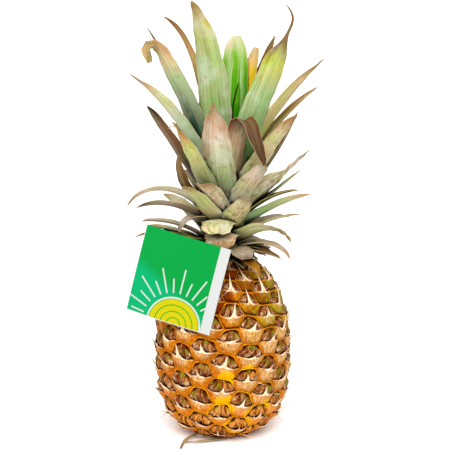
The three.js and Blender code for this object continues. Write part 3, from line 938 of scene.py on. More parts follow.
def build_threads():
    """Fine dry threads that have come loose from the bracts, each a tapered three-sided tube."""
    draw = random.Random(settings("rind").seed + 4)
    steps, sides = 7, 3
    share = 0.8  # of the eyes, on each of two rounds, that have a thread
    points, faces = [], []
    for eye in all_eyes() * 2:
        if draw.random() > share:
            continue
        u = np.array(draw.uniform(-0.8, 0.8))
        spot = eye_points(eye.n, u, eye.lip_line(u), eye.lip + 0.2) / MM
        out = np.array([spot[0], spot[1], 0.0])
        out /= max(np.linalg.norm(out), 1e-6)
        side = np.array([-out[1], out[0], 0])
        heading = out * draw.uniform(0.2, 0.9) + side * draw.uniform(-0.8, 0.8)
        heading += np.array([0, 0, draw.uniform(-0.3, 1)])
        heading /= np.linalg.norm(heading)
        bend = out * draw.uniform(-0.12, 0.05) + side * draw.uniform(-0.1, 0.1)
        bend += np.array([0, 0, draw.uniform(-0.14, 0.1)])
        long, wide = draw.uniform(3, 11), draw.uniform(0.14, 0.32)
        first = len(points) * sides
        for i in range(steps + 1):
            towards = heading + bend * i
            towards /= np.linalg.norm(towards)
            ring_a = np.cross(towards, out + 0.3 * side)
            ring_a /= np.linalg.norm(ring_a)
            ring_b = np.cross(towards, ring_a)
            radius = wide * (1 - 0.85 * i / steps)
            turns = [k * THIRD_TURN for k in range(sides)]
            points.append([
                spot + radius * (ring_a * math.cos(t) + ring_b * math.sin(t)) for t in turns
            ])
            spot = spot + towards * long / steps
            spot[:2] *= min(1, THREAD_REACH / math.hypot(*spot[:2]))
            spot[2] = max(spot[2], THREAD_LOWEST)
        for i in range(steps):
            for k in range(sides):
                a, b = first + i * sides + k, first + i * sides + (k + 1) % sides
                faces.append((a, b, b + sides, a + sides))
        faces += [
            (first + 2, first + 1, first), tuple(first + steps * sides + k for k in range(sides)),
        ]
    dry = Surface("threads", 0.6)
    grain = dry.noise(dry.place(), 60, 2, 0.5)
    dry.paint(dry.mix(grain.ramp(0.35, 0.6), "a87440", settings("rind").cream))
    obj = new_object("fruit_threads", np.array(points) * MM, faces)
    return finished(obj, "fruit_threads", dry.material, 60)


# ---- Crown --------------------------------------------------------------------------------------

# Colours along a leaf, at its foot, its middle, its upper part and its tip, then of its margins,
# and how much whitish bloom is on it. The deep feet are partly the leaves' own green and partly
# painted shade in the heart of the crown.
FINISHES = {
    "fresh": ("107c04", "34a406", "80c01c", "fcf4d8", "148c08", 0.0),
    "pale": ("4c9438", "a2b274", "bcbe48", "b89068", "a8ba94", 0.35),
    "sage": ("305444", "a4bc94", "ccc49c", "c8a67c", "94ac8a", 0.14),
    "reed": ("40684a", "b4c898", "d8d49c", "ac8458", "a4bc8c", 0.35),
    "deep": ("2a4a30", "7e9474", "bcbc9c", "c4ac88", "8ca07e", 0.3),
    "sedge": ("345c3c", "bcc88c", "dcd890", "c08c50", "9cac80", 0.25),
    "char": ("2c200c", "5c4028", "7e5c42", "4a3020", "6c5038", 0.0),
    "blush": ("7c946e", "e4d6be", "ead0ba", "b88a64", "c4c6a4", 0.35),
    "ash": ("3c6440", "b8be98", "e2ccb6", "b08a68", "a4ae8c", 0.35),
    "fern": ("3c8c2c", "acc890", "c8cc54", "8c6844", "a4c08c", 0.35),
    "straw": ("587440", "dcdaa4", "e4d8b0", "ac8450", "c8cc9c", 0.35),
    "quill": ("1c6410", "b4bc68", "dcbc98", "a4805c", "e6e0b4", 0.1),
    "mauve": ("3c3422", "9c8472", "c0a898", "785c50", "b0a090", 0.3),
    "russet": ("88906a", "ccb090", "704832", "5a3220", "b09474", 0.1),
    "copper": ("708030", "c8a850", "e4b47c", "9c6840", "d0ac68", 0.0),
    "gold": ("a8a420", "ffcc04", "ffce30", "e8c49c", "f0b408", 0.0),
    "umber": ("2c200c", "50341a", "7c5834", "94683c", "5c4020", 0.0),
    "olive": ("5a7420", "8a8424", "a47430", "b88858", "908c40", 0.1),
    "moss": ("566410", "7a8618", "948a2c", "8c6c34", "687418", 0.0),
    "husk": ("5c4020", "b89464", "dcb886", "8c6840", "8a6a40", 0.1),
    "amber": ("5a3006", "c4780e", "e8a028", "94581a", "a8640e", 0.0),
}


def leaf(finish, bearing, foot, lean, tip_lean, late, long, wide, **more):
    """A leaf as the crown's solid has it: it grows at a bearing from a foot height on the stem,
    starts at a lean from upright and ends at another. A large late keeps the bend near its tip."""
    shape = dict(
        sway=0, roll=0, twist=0, end=0.07, crease_at=1, crease=0, dry_from=1, dry_width=0.4
    )
    shape.update(stained=0.2, striped=0.2, waves=1, trough=0.2, stops=(0.08, 0.42, 0.8, 0.96))
    shape.update(finish=finish, bearing=bearing, foot=foot, lean=lean, tip_lean=tip_lean)
    shape.update(late=late, long=long, wide=wide, **more)
    return shape


TALL = [
    leaf(
        "pale", -36, 200, 5, 38, 3.2, 167, 28, roll=25, dry_from=0.9, dry_width=0.7,
        stops=(0.1, 0.72, 0.88, 0.97)
    ),
    leaf(
        "fresh", 135, 208, 7, 3, 1.5, 122, 27, end=0.45, roll=40, stained=0, striped=1,
        stops=(0.2, 0.5, 0.86, 0.99)
    ),
    leaf(
        "fern", 70, 206, 20, 23.5, 1.0, 163, 25, roll=-50, crease_at=0.88, crease=-65, dry_from=0.8,
        dry_width=0.18, stops=(0.08, 0.56, 0.7, 0.8)
    ),
    leaf("copper", -115, 208, 11, 64, 4.8, 148, 13, roll=60, stops=(0.1, 0.5, 0.72, 0.95)),
    leaf(
        "sage", -85, 202, 12, 30.5, 0.7, 150, 21, roll=50, end=0.3, crease_at=0.845, crease=160,
        dry_from=0.8, dry_width=0.85, stops=(0.4, 0.66, 0.78, 0.86)
    ),
    leaf("umber", -88, 203, 12, 31, 0.8, 146, 6, roll=50),
    leaf(
        "reed", -75, 196, 17, 56, 1.3, 130, 15, roll=40, dry_from=0.9, stops=(0.34, 0.6, 0.8, 0.94)
    ),
    leaf("char", -96, 191, 35, 34, 1.0, 99, 16, roll=50, end=0.2),
    leaf("quill", 95, 201, 26.5, 48, 1.5, 135, 19, roll=-40, dry_from=0.9),
    leaf("olive", 115, 200, 35, 57, 1.4, 118, 20, roll=-10),
    leaf("umber", 115, 208, 15, 24, 1.0, 128, 12, roll=40),
    leaf(
        "gold", 100, 209, 14.5, 10, 1.0, 114, 18, roll=30, end=0.6, stained=0,
        stops=(0.1, 0.45, 0.84, 0.96),
    ),
]

MIDDLE = [
    leaf(
        "ash", -10, 180, 24, 16, 1.0, 109, 30, dry_from=0.92, dry_width=0.5, stained=0.3,
        stops=(0.22, 0.46, 0.7, 0.97)
    ),
    leaf("sedge", -38, 182, 30, 36, 1.2, 94, 22, stained=0.3, stops=(0.3, 0.55, 0.8, 0.96)),
    leaf(
        "russet", 30, 186, 14.5, 15, 1.0, 124, 28, sway=18, crease_at=0.62, crease=135, end=0.15,
        dry_from=0.64, dry_width=0.78, stained=0.3, waves=0.3, stops=(0.1, 0.54, 0.66, 0.9)
    ),
    leaf("straw", 62, 182, 26, 42, 1.0, 108, 21, roll=-30, stained=0.35),
    leaf("blush", 42, 177, 29, 50, 1.1, 70, 21, end=0.3, roll=-25, stained=0.32),
    leaf("umber", 100, 188, 46, 22, 1.2, 98, 14),
    leaf(
        "blush", 78, 178, 46, 46, 1.2, 90, 25, roll=-32, dry_from=0.66, dry_width=0.32, stained=0.5
    ),
    leaf("deep", 92, 176, 54, 48, 1.4, 72, 10),
    leaf("moss", 80, 172, 42, 82, 1.5, 66, 13),
    leaf("sage", 72, 169, 52, 74, 1.4, 76, 14, roll=-30),
    leaf("blush", -80, 179, 44, 148, 1.9, 85, 16, roll=20),
    leaf("mauve", -86, 171, 44, 108, 1.2, 70, 18, roll=20),
    leaf("straw", -38, 170, 32, 60, 1.2, 64, 24),
    leaf("blush", -18, 174, 27, 70, 1.2, 66, 23, end=0.35, stained=0.4),
    leaf("mauve", -60, 173, 38, 165, 1.4, 42, 14, stained=0.3),
    leaf("umber", -82, 184, 66, -4, 1.0, 62, 15, roll=40),
    leaf("gold", -86, 188, 28, 21, 1.0, 84, 9, roll=30, crease_at=0.88, crease=120, dry_from=0.8),
]

LOW = [
    leaf("straw", 82, 165, 60, 82, 1.4, 60, 8),
    leaf(
        "straw", 27, 167, 38, 50, 1.2, 54, 22, roll=-15, dry_from=0.93, dry_width=0.5, stained=0.4
    ),
    leaf(
        "straw", -7, 173, 34, 132, 1.0, 46, 27, end=0.75, trough=-0.08, stained=0.4,
        stops=(0.1, 0.5, 1.1, 1.3)
    ),
    leaf("blush", -2, 166, 46, 138, 1.1, 44, 27, end=0.65, trough=-0.08, stained=0.6),
    leaf(
        "straw", 62, 160, 58, 150, 2.6, 60, 24, roll=-20, dry_from=0.66, dry_width=0.75, waves=0.4,
        stops=(0.08, 0.35, 0.6, 0.75)
    ),
    leaf("mauve", -72, 160, 52, 92, 1.3, 66, 14),
    leaf("straw", -88, 156, 60, 86, 1.4, 58, 14),
    leaf("blush", 70, 155, 68, 150, 2.0, 54, 13),
    leaf("umber", 56, 153, 76, 106, 1.4, 48, 12),
    leaf("mauve", 21, 156, 64, 118, 1.3, 45, 23, end=0.5, trough=0, stained=0.5),
    leaf("umber", -30, 155, 62, 100, 1.3, 40, 15),
    leaf("moss", -55, 157, 60, 90, 1.3, 44, 15),
    leaf("umber", -84, 158, 64, 112, 1.6, 66, 9),
]


def back_leaves():
    """The leaves at the back are a golden angle apart, each higher, steeper and longer."""
    state, multiplier, modulus = 4, 16807, 2147483647  # of the draws, as the crown's solid has them
    finishes = ("mauve", "straw", "blush", "sage", "sage", "pale")

    def vary(spread):
        nonlocal state
        state = state * multiplier % modulus
        return spread * (state / (modulus / 2) - 1)

    def blend(low, high, share):
        return low + (high - low) * share

    leaves, i = [], 0
    while len(leaves) < BACK_LEAVES:
        bearing = (i * GOLDEN_ANGLE + 180) % 360 - 180
        i += 1
        if abs(bearing) < BACK_FROM:
            continue
        up = len(leaves) / (BACK_LEAVES - 1)
        lean = blend(70, 12, up**0.8) + vary(4)
        tip_lean = blend(118, 24, up**0.7) + vary(10)
        long = blend(50, 112, up**1.1) * (1 + vary(0.12))
        wide = blend(15, 24, float(smooth(0, 0.5, up))) + vary(2.5)
        more = dict(sway=vary(8), roll=vary(14), twist=vary(16))
        finish = finishes[min(5, int(up * 6 + (i % 3) * 0.4))]
        leaves.append(
            leaf(finish, bearing, blend(150.5, 204, up), lean, tip_lean, 1.4, long, wide, **more)
        )
    return leaves


def neck_leaves():
    """Small dry bracts crowd between the fruit's shoulder and the lowest leaves, and lie on it."""
    draw = random.Random(settings("crown").seed + 1)
    finishes = ("amber", "char", "amber", "moss", "umber", "husk", "umber")
    leaves = []
    for i in range(NECK_LEAVES):
        lean = draw.uniform(66, 88)
        foot = 149 + draw.uniform(-3, 5)
        tip_lean = lean + draw.uniform(15, 55)
        long, wide = draw.uniform(26, 42), draw.uniform(9, 14)
        more = dict(
            roll=draw.uniform(-20, 20), stained=0.4, waves=0.5, dry_from=draw.uniform(0.6, 1)
        )
        bearing = i * GOLDEN_ANGLE % 360
        leaves.append(leaf(finishes[i % 7], bearing, foot, lean, tip_lean, 1.4, long, wide, **more))
    return leaves


def leaf_frames(shape, steps):
    """The middle line of a leaf, and its sideways and inwards directions, at each step."""
    finer = 4  # times as many steps as are returned
    s = np.linspace(0, 1, steps * finer + 1)
    lean = shape["lean"] + (shape["tip_lean"] - shape["lean"]) * s ** shape["late"]
    lean = np.radians(
        lean + shape["crease"] * smooth(shape["crease_at"], shape["crease_at"] + 0.1, s)
    )
    b = np.radians(shape["bearing"] + shape["sway"] * s)
    out = np.stack([np.sin(b), -np.cos(b), 0 * b], -1)
    along = out * np.sin(lean)[:, None]
    along[:, 2] = np.cos(lean)
    inwards = out * -np.cos(lean)[:, None]
    inwards[:, 2] = np.sin(lean)
    share = (shape["foot"] - STEM_FOOT) / (STEM_TOP - STEM_FOOT)
    root = STEM_FOOT_RADIUS + (STEM_TOP_RADIUS - STEM_FOOT_RADIUS) * share - LEAF_SUNK
    start = np.array([root * math.sin(b[0]), -root * math.cos(b[0]), shape["foot"]])
    moves = np.cumsum(along[:-1] * shape["long"] / (steps * finer), 0)
    middle = start + np.concatenate([[[0, 0, 0]], moves])
    turn = np.radians(shape["roll"] + shape["twist"] * s)[:, None]
    inwards = inwards * np.cos(turn) + np.cross(along, inwards) * np.sin(turn)
    return s[::finer], middle[::finer], np.cross(along, inwards)[::finer], inwards[::finer]


def leaf_width(shape, s):
    """A leaf's width from foot to tip, narrower from where it is dry."""
    opening = 0.5 + 0.5 * np.sin(np.minimum(1, s / 0.25) * np.pi / 2)
    taper = shape["end"] + (1 - shape["end"]) * np.maximum(0, 1 - s**2.2) ** 0.55
    dry = smooth(shape["dry_from"] - 0.1, shape["dry_from"] + 0.05, s)
    return shape["wide"] * opening * taper * (1 - (1 - shape["dry_width"]) * dry)


def above_shoulder(points):
    """Leaves that lie over the fruit's shoulder are lifted clear of it."""
    r = np.minimum(np.hypot(points[..., 0], points[..., 1]) / RADIUS, 1)
    lowest = WAIST + ABOVE * (1 - r**SHOULDERS) ** (1 / SHOULDERS) + SHOULDER_GAP
    points[..., 2] = np.where(r < 1, np.maximum(points[..., 2], lowest), points[..., 2])
    return points


def laid_blade(points, s, u, finish, stops, draw):
    """A primitive grid laid along a leaf or a dry strip, with its colours from foot to tip.
    Its edges dry sooner than its middle, and its margins have a colour of their own."""
    grid_u, grid_s = np.meshgrid(u, s)
    obj = laid_grid(points, "Leaf", grid_u, grid_s)
    *along, margin = (np.array(colour(code)) for code in FINISHES[finish][:5])
    reached = s[:, None] + 0.05 * u**2 + 0.02 * np.sin(7 * u + draw.uniform(0, 6.3))
    tints = np.stack([np.interp(reached, stops, [tone[k] for tone in along]) for k in range(3)], -1)
    dry = smooth(stops[2] - 0.12, stops[2], s)
    share = 0.65 * np.abs(u) ** 2.2 * (1 - dry)[:, None]
    tints += (margin - tints) * share[..., None]
    tints = tints.reshape(-1, 3) * draw.uniform(1.0, 1.14)
    store_tone(obj.data, "leaf_colour", np.hstack([tints, np.ones((len(tints), 1))]))
    return obj


def build_leaf(shape, draw):
    """One blade, given thickness that thins to its edges and its tip."""
    look = settings("crown")
    steps = max(12, round(shape["long"] * MM / look.step))
    s, middle, sideways, inwards = leaf_frames(shape, steps)
    u = np.linspace(-1, 1, look.across + 1)
    column = s[:, None]
    width = leaf_width(shape, s)
    phase, beat = draw.uniform(0, 6.3), draw.uniform(14, 22)
    ripple = 0.022 * np.sin(column * beat + phase + 1.7 * np.sign(u)) * np.abs(u) ** 3
    ripple = ripple * smooth(0.1, 0.5, s)[:, None]
    dry = smooth(shape["dry_from"] - 0.06, shape["dry_from"] + 0.06, s)[:, None]
    ripple = ripple + 0.13 * shape["waves"] * dry * np.sin(column * 55 + 3.3 * u + phase)
    lift = (u**2 * shape["trough"] + ripple) * width[:, None]
    torn = 0.02 + 0.06 * shape["stained"]
    wobble = np.sin(column * beat * 1.7 + phase * 2 + 2 * u)
    wobble = wobble + 0.7 * np.sin(column * beat * 4.1 + phase + 5 * u)
    reach = u * width[:, None] / 2 * (1 + torn * wobble)
    points = (
        middle[:, None] + sideways[:, None] * reach[..., None] + inwards[:, None] * lift[..., None]
    )
    obj = laid_blade(above_shoulder(points), s, u, shape["finish"], shape["stops"], draw)
    bloom = FINISHES[shape["finish"]][5] * draw.uniform(0.7, 1.3)
    store_tone(obj.data, "leaf_wear", (shape["stained"], bloom, draw.random(), shape["striped"]))
    thick = obj.vertex_groups.new(name="thick")
    weights = (1 - 0.75 * np.abs(u) ** 1.5) * (1 - 0.45 * column)
    for index, weight in enumerate(weights.ravel()):
        thick.add([index], float(weight), "REPLACE")
    options = dict(thickness=look.thickness, vertex_group="thick", thickness_vertex_group=0.2)
    apply_modifier(obj, "SOLIDIFY", offset=0, **options)
    return obj


def build_leaves(name, shapes, material, draw):
    blades = [build_leaf(shape, draw) for shape in shapes]
    return finished(joined(blades), name, material, 50)


def leaf_material():
    look = settings("crown")
    skin = Surface("leaves", 0.45, gloss=0.06, translucent=0.05)
    place, blade, own = skin.place(), skin.uv("Leaf"), skin.layer("leaf_colour")
    stained, bloomed, chance = skin.split(skin.layer("leaf_wear"))
    striped = skin.layer("leaf_wear", "Alpha")
    u, s, _ = skin.split(blade)
    side = abs(u - 0.5)
    seed = chance * 40
    veins = skin.fibres(blade, 30, 2.5, seed)
    bands = skin.fibres(blade, 7, 1.6, seed + 3)
    fine = skin.fibres(blade, 80, 5, seed + 6)
    bloom = skin.blotches(place, 45, bloomed, 0.14, seed)
    stains = skin.blotches(skin.join(u * 7, s * 16), 1, stained, 0.05, seed)
    drift = skin.noise(place, 55, 3, 0.6, seed)
    lined = bands.ramp(0.4, 0.66) * striped * side.ramp(0.42, 0.2)
    above = skin.most(s - 0.5, 0)
    # A thin blackish curved line down the upper half of the striped leaf.
    from_line = abs(u - (above * above * 4.25 + 0.51))
    split = from_line.ramp(0.035, 0.02) * s.ramp(0.7, 0.66) * (striped > 0.9)
    body = skin.coats(
        own,
        (lined, skin.mix(0.6, own, "f2f8d8")),
        (drift.ramp(0.42, 0.62, 0, 0.75), "e0f0bc", "MULTIPLY"),
        (drift.ramp(0.56, 0.4, 0, 0.6), "fce2d0", "MULTIPLY"),
        (veins * 0.5, "b8bc98", "MULTIPLY"),
        (fine.ramp(0.5, 0.1) * (stained + 0.3), "b09478", "MULTIPLY"),
        (bloom * 0.5, look.bloom),
        (stains * 0.5, look.stain),
        (side.ramp(0.465, 0.497) * 0.45, "ccb080"),
        # Painted shade: each leaf turns deeper green towards its foot, in the heart of the crown.
        (s.ramp(0.05, 0.35, 0.6, 0), "4c6838", "MULTIPLY"),
        (split, "2e1c08"),
    )
    # Painted shade: the leaves turn near black deep in the gaps between them.
    skin.paint(skin.painted_gap_shade(body, "0c0a02", 0.46))
    skin.roughen(veins, 0.38, 0.6)
    skin.bump(veins * 0.6 + bands, 0.0006, 0.75)
    return skin.material


def build_stem():
    """The short stem that the leaves grow from."""
    height = (STEM_TOP - STEM_FOOT) * MM
    bpy.ops.object.select_all(action="DESELECT")
    bpy.ops.mesh.primitive_cone_add(
        vertices=48, radius1=STEM_FOOT_RADIUS * MM, radius2=STEM_TOP_RADIUS * MM, depth=height,
        location=(0, 0, STEM_FOOT * MM + height / 2),
    )
    obj = bpy.context.active_object
    bpy.ops.object.transform_apply(location=True, rotation=True, scale=True)
    bpy.ops.object.mode_set(mode="EDIT")
    bpy.ops.mesh.select_all(action="SELECT")
    bpy.ops.mesh.subdivide(number_cuts=3)
    bpy.ops.object.mode_set(mode="OBJECT")
    stem = Surface("stem", 0.7)
    inputs = {0: stem.place(), 1: (1, 1, 0.15)}
    fibres = stem.noise(
        stem.value("ShaderNodeVectorMath", inputs, operation="MULTIPLY"), 900, 3, 0.6
    )
    stem.paint(stem.mix(fibres, "3a3a18", "8a8a50"))
    stem.bump(fibres, 0.0004)
    return finished(obj, "crown_stem", stem.material, 40)


# ---- Stalk --------------------------------------------------------------------------------------

# Dry bracts run out from the stalk under the fruit. Each has a width, and a route of points on the
# floor with their heights above it.
STALK_BRACTS = [
    (3.4, [
        (-6, -4, 0.6), (-16, -13, 1.2), (-24.5, -25, 2.4), (-31, -35.5, 2.0), (-34.3, -51, 0.8),
    ]),
    (3.2, [
        (9, -10, 0.6), (4, -26, 1.2), (-11.5, -34.5, 1.9), (-22, -37.5, 1.7), (-32, -36.5, 1.0),
    ]),
    (2.6, [(-8, -2, 0.6), (-12, -14, 0.9), (-9.5, -24, 1.3), (-5, -31, 1.6)]),
    (3.0, [(10, 8, 0.6), (24, 17, 0.6), (38, 22, 0.7)]),
]


def through(route, steps):
    """Points along a smooth curve through the points of a route, and its direction at each."""
    route = np.asarray(route, float)
    padded = np.concatenate([[2 * route[0] - route[1]], route, [2 * route[-1] - route[-2]]])
    t = np.linspace(0, len(route) - 1, steps + 1)
    i = np.minimum(t.astype(int), len(route) - 2)
    f = (t - i)[:, None]
    a, b, c, d = (padded[i + k] for k in range(4))
    points = 0.5 * (
        2 * b + (c - a) * f + (2 * a - 5 * b + 4 * c - d) * f**2 + (3 * (b - c) + d - a) * f**3
    )
    towards = np.gradient(points, axis=0)
    return points, towards / np.linalg.norm(towards, axis=1)[:, None]


def build_stalk_bracts():
    """Curled strips, each laid along its route."""
    draw = random.Random(settings("crown").seed + 2)
    steps, across = 34, 6
    s, u = np.linspace(0, 1, steps + 1), np.linspace(-1, 1, across + 1)
    strips = []
    for wide, route in STALK_BRACTS:
        middle, along = through(route, steps)
        sideways = np.stack([-along[:, 1], along[:, 0], 0 * s], -1)
        half = wide / 2 * (1 - 0.6 * s**3) * (1 + 0.08 * np.sin(s * 25 + draw.uniform(0, 6)))
        points = middle[:, None] + sideways[:, None] * (u * half[:, None])[..., None]
        points[..., 2] += (0.32 * u**2 - 0.12) * half[:, None] * smooth(0.25, 0.6, s)[:, None]
        points[..., 2] = np.maximum(points[..., 2], STALK_BRACT_LOWEST)
        obj = laid_blade(points, s, u, "husk", (0.1, 0.4, 0.8, 1), draw)
        store_tone(obj.data, "leaf_wear", (0.35, 0.2, draw.random(), 1))
        apply_modifier(obj, "SOLIDIFY", thickness=STALK_BRACT_THICK * MM, offset=0)
        strips.append(obj)
    return finished(joined(strips), "stalk_bracts", bpy.data.materials["leaves"], 50)


def build_stalk():
    """The cut end of the stalk, level with the fruit's base."""
    bpy.ops.object.select_all(action="DESELECT")
    bpy.ops.mesh.primitive_cylinder_add(
        vertices=72, radius=STALK_RADIUS * MM, depth=STALK_HEIGHT * MM,
        location=(0, 0, STALK_HEIGHT / 2 * MM),
    )
    obj = bpy.context.active_object
    bpy.ops.object.transform_apply(location=True, rotation=True, scale=True)
    apply_modifier(obj, "BEVEL", width=0.4 * MM, segments=2, limit_method="ANGLE")
    wood = Surface("stalk wood", 0.8)
    x, y, _ = wood.split(wood.place())
    radius = wood.value("ShaderNodeVectorMath", {0: wood.join(x, y)}, "Value", operation="LENGTH")
    grain = wood.noise(wood.place(), 700, 4, 0.6)
    body = wood.mix(grain, "8a6a3a", "d8c08a")
    wood.paint(wood.mix(radius.ramp(0.0105, 0.0135), body, "5a3a1a"))
    wood.bump(grain, 0.0004)
    return finished(obj, "stalk_wood", wood.material, 40)


# ---- Card ---------------------------------------------------------------------------------------

SUN_MIDDLE, SUN_RADIUS, HALO_RADIUS = 0.57, 0.295, 0.315  # as shares of the card
RAYS_FROM, RAYS_TO, LONGER_RAYS = 0.36, 0.52, 0.12
RAY_STEP = math.pi / 15  # from one ray to the next
BAND_FROM, BORDER = 0.885, 0.008


def card_material():
    """A green card with a rising sun: half a disc in the bottom edge, under short white rays."""
    look = settings("card")
    card = Surface("card", 0.4, gloss=0.05)
    x, y, _ = card.split(card.uv("Card"))
    across = x - SUN_MIDDLE
    radius = card.math("SQRT", across * across + y * y)
    ray = card.math("DIVIDE", card.math("ARCTAN2", y, across), RAY_STEP)
    thin = (abs(ray.fraction() - 0.5) * (radius * RAY_STEP)).ramp(0.006, 0.01, 1, 0)
    is_odd = card.math("MODULO", card.math("FLOOR", ray), 2)
    rays = thin * (radius < is_odd * LONGER_RAYS + RAYS_TO) * (radius > RAYS_FROM)
    rings = (radius * 14).fraction() < 0.2
    body = card.coats(
        card.mix((x * 0.45 + y).ramp(0.5, 0.68), look.turquoise, look.green),
        (rays, look.paper),
        (radius < HALO_RADIUS, look.paper),
        (radius < SUN_RADIUS, card.mix(rings, look.sun, "4c9a10")),
        (x > BAND_FROM, look.paper),
        (card.least(x, y) < BORDER, look.paper),
    )
    card.paint(body)
    return card.material


def build_card():
    """A thin card whose edges curl back, in front of the fruit's upper left."""
    look = settings("card")
    columns, rows = 33, 29
    u, v = np.meshgrid(np.linspace(-1, 1, columns), np.linspace(-1, 1, rows))
    curl = np.where(u < 0, CARD_BOW_LEFT, CARD_BOW_RIGHT) * u**2 + CARD_BOW_UP * v**2
    flat = np.stack([u * CARD_WIDTH / 2, v * CARD_HEIGHT / 2, -curl], -1).reshape(-1, 3)
    turn = Matrix.Rotation(math.radians(CARD_BEARING), 3, "Z")
    turn = turn @ Matrix.Rotation(math.radians(90 - CARD_LEAN), 3, "X")
    turn = turn @ Matrix.Rotation(math.radians(CARD_TURN), 3, "Z")
    points = flat @ np.array(turn).T + CARD_CENTRE
    obj = laid_grid(points.reshape(*u.shape, 3), "Card", u, v / 2 + 0.5)
    apply_modifier(obj, "SOLIDIFY", thickness=look.thickness, offset=0)
    return finished(obj, "card", card_material(), 40)


# ---- Studio -------------------------------------------------------------------------------------

FLOOR_SIZE, LAMP_DISTANCE = 60, 1.5  # in metres
# Of each light: its name, its strength as a share of the key's, its bearing, elevation and width.
LIGHTS = (("key", 1.0, 8, 44, 40), ("fill", 0.4, -50, 34, 70))


def build_floor():
    """A plain pale floor, with hardly any grain."""
    bpy.ops.object.select_all(action="DESELECT")
    bpy.ops.mesh.primitive_plane_add(size=FLOOR_SIZE, location=(0, 0, 0))
    floor = bpy.context.active_object
    floor.name = "floor"
    plain = Surface("floor", 0.85)
    grain = plain.noise(plain.place(), 30, 2, 0.5)
    shown = plain.mix(grain.ramp(0.3, 0.7, 0, 0.03), settings("stage").floor, "e8e8e6")
    plain.put(plain.shader["Base Color"], shown)
    floor.data.materials.append(plain.material)


def direction(bearing, elevation):
    """The way from the origin to something at a bearing and an elevation."""
    b, e = math.radians(bearing), math.radians(elevation)
    return Vector((math.sin(b) * math.cos(e), -math.cos(b) * math.cos(e), math.sin(e)))


def place_in_scene(name, data, location, back):
    """A lamp or a camera at a place, facing away from a direction."""
    obj = bpy.data.objects.new(name, data)
    obj.location = location
    obj.rotation_euler = back.to_track_quat("Z", "Y").to_euler()
    bpy.context.scene.collection.objects.link(obj)
    return obj


def build_lights():
    """An even white sky, a soft key light from the front and a fill from the left."""
    look = settings("stage")
    world = bpy.data.worlds.new("sky")
    world.use_nodes = True
    background = world.node_tree.nodes["Background"].inputs
    background["Color"].default_value = (1, 1, 1, 1)
    background["Strength"].default_value = look.sky
    bpy.context.scene.world = world
    for name, share, bearing, elevation, angle in LIGHTS:
        light = bpy.data.lights.new(name, "SUN")
        light.energy = look.key * share
        light.angle = math.radians(angle)
        back = direction(bearing, elevation)
        place_in_scene(name, light, back * LAMP_DISTANCE, back)


def build_camera():
    """The camera stands in front and a little above, aimed at the middle of the whole."""
    lens = bpy.data.cameras.new("camera")
    lens.lens = CAMERA_LENS
    lens.sensor_width = 36
    lens.clip_start, lens.clip_end = 0.05, 100
    back = direction(0, CAMERA_ELEVATION)
    location = (Vector(AIM) + back * CAMERA_DISTANCE) * MM
    bpy.context.scene.camera = place_in_scene("camera", lens, location, back)


# ---- Operators ----------------------------------------------------------------------------------


class PINEAPPLE_OT_rind(bpy.types.Operator):
    """Grow the fruit's rind, its sepals and its papery bracts"""

    bl_idname = "pineapple.rind"
    bl_label = "Rind"

    def execute(self, context):
        pieces = (build_rind(), build_sepals(), build_bracts())
        for obj in pieces:
            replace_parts(obj, "fruit")
        store_openness(pieces, FRUIT_SHADE_REACH * MM)
        return {"FINISHED"}


class PINEAPPLE_OT_crown(bpy.types.Operator):
    """Grow the crown: its short stem and every leaf"""

    bl_idname = "pineapple.crown"
    bl_label = "Crown"

    def execute(self, context):
        draw = random.Random(settings("crown").seed)
        look = leaf_material()
        groups = {
            "tall": TALL, "middle": MIDDLE, "low": LOW, "back": back_leaves(), "neck": neck_leaves()
        }
        pieces = [
            build_leaves(f"leaves_{name}", shapes, look, draw) for name, shapes in groups.items()
        ]
        pieces.append(build_stem())
        for obj in pieces:
            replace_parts(obj, "crown")
        store_openness(pieces, CROWN_SHADE_REACH * MM)
        return {"FINISHED"}


class PINEAPPLE_OT_stalk(bpy.types.Operator):
    """Make the cut stalk and the dry bracts that lie under the fruit"""

    bl_idname = "pineapple.stalk"
    bl_label = "Stalk"

    def execute(self, context):
        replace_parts(build_stalk(), "stalk")
        bracts = build_stalk_bracts()
        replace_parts(bracts, "stalk")
        store_openness([bracts], FRUIT_SHADE_REACH * MM)
        return {"FINISHED"}


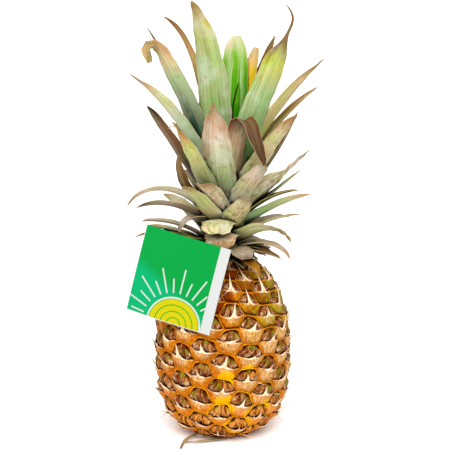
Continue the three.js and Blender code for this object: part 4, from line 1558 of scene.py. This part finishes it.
class PINEAPPLE_OT_card(bpy.types.Operator):
    """Stand the printed card in front of the fruit"""

    bl_idname = "pineapple.card"
    bl_label = "Card"

    def execute(self, context):
        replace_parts(build_card(), "tag")
        return {"FINISHED"}


class PINEAPPLE_OT_threads(bpy.types.Operator):
    """Add the fine threads that have come loose from the bracts"""

    bl_idname = "pineapple.threads"
    bl_label = "Threads"

    def execute(self, context):
        build_threads()
        return {"FINISHED"}


class PINEAPPLE_OT_stage(bpy.types.Operator):
    """Set the plain floor, the soft light and the camera"""

    bl_idname = "pineapple.stage"
    bl_label = "Studio"

    def execute(self, context):
        context.scene.view_settings.view_transform = "Standard"
        build_floor()
        build_lights()
        build_camera()
        return {"FINISHED"}


class PINEAPPLE_PT_panel(bpy.types.Panel):
    """The pieces of the pineapple, in the order they are made"""

    bl_idname = "PINEAPPLE_PT_panel"
    bl_label = "Pineapple"
    bl_space_type = "VIEW_3D"
    bl_region_type = "UI"
    bl_category = "Pineapple"

    def draw(self, context):
        for operator in OPERATORS:
            self.layout.operator(operator.bl_idname)


GROUPS = {
    "rind": PineappleRindSettings,
    "crown": PineappleCrownSettings,
    "card": PineappleCardSettings,
    "stage": PineappleStageSettings,
}
# In the order that they are run.
OPERATORS = (
    PINEAPPLE_OT_stage,
    PINEAPPLE_OT_rind,
    PINEAPPLE_OT_crown,
    PINEAPPLE_OT_stalk,
    PINEAPPLE_OT_card,
    PINEAPPLE_OT_threads,
)


def register():
    for name, group in GROUPS.items():
        bpy.utils.register_class(group)
        setattr(bpy.types.Scene, "pineapple_" + name, PointerProperty(type=group))
    for item in (*OPERATORS, PINEAPPLE_PT_panel):
        bpy.utils.register_class(item)


def unregister():
    for item in reversed((*OPERATORS, PINEAPPLE_PT_panel)):
        bpy.utils.unregister_class(item)
    for name, group in GROUPS.items():
        delattr(bpy.types.Scene, "pineapple_" + name)
        bpy.utils.unregister_class(group)


def main():
    register()
    for operator in OPERATORS:
        group, name = operator.bl_idname.split(".")
        getattr(getattr(bpy.ops, group), name)()


if __name__ == "__main__":
    main()
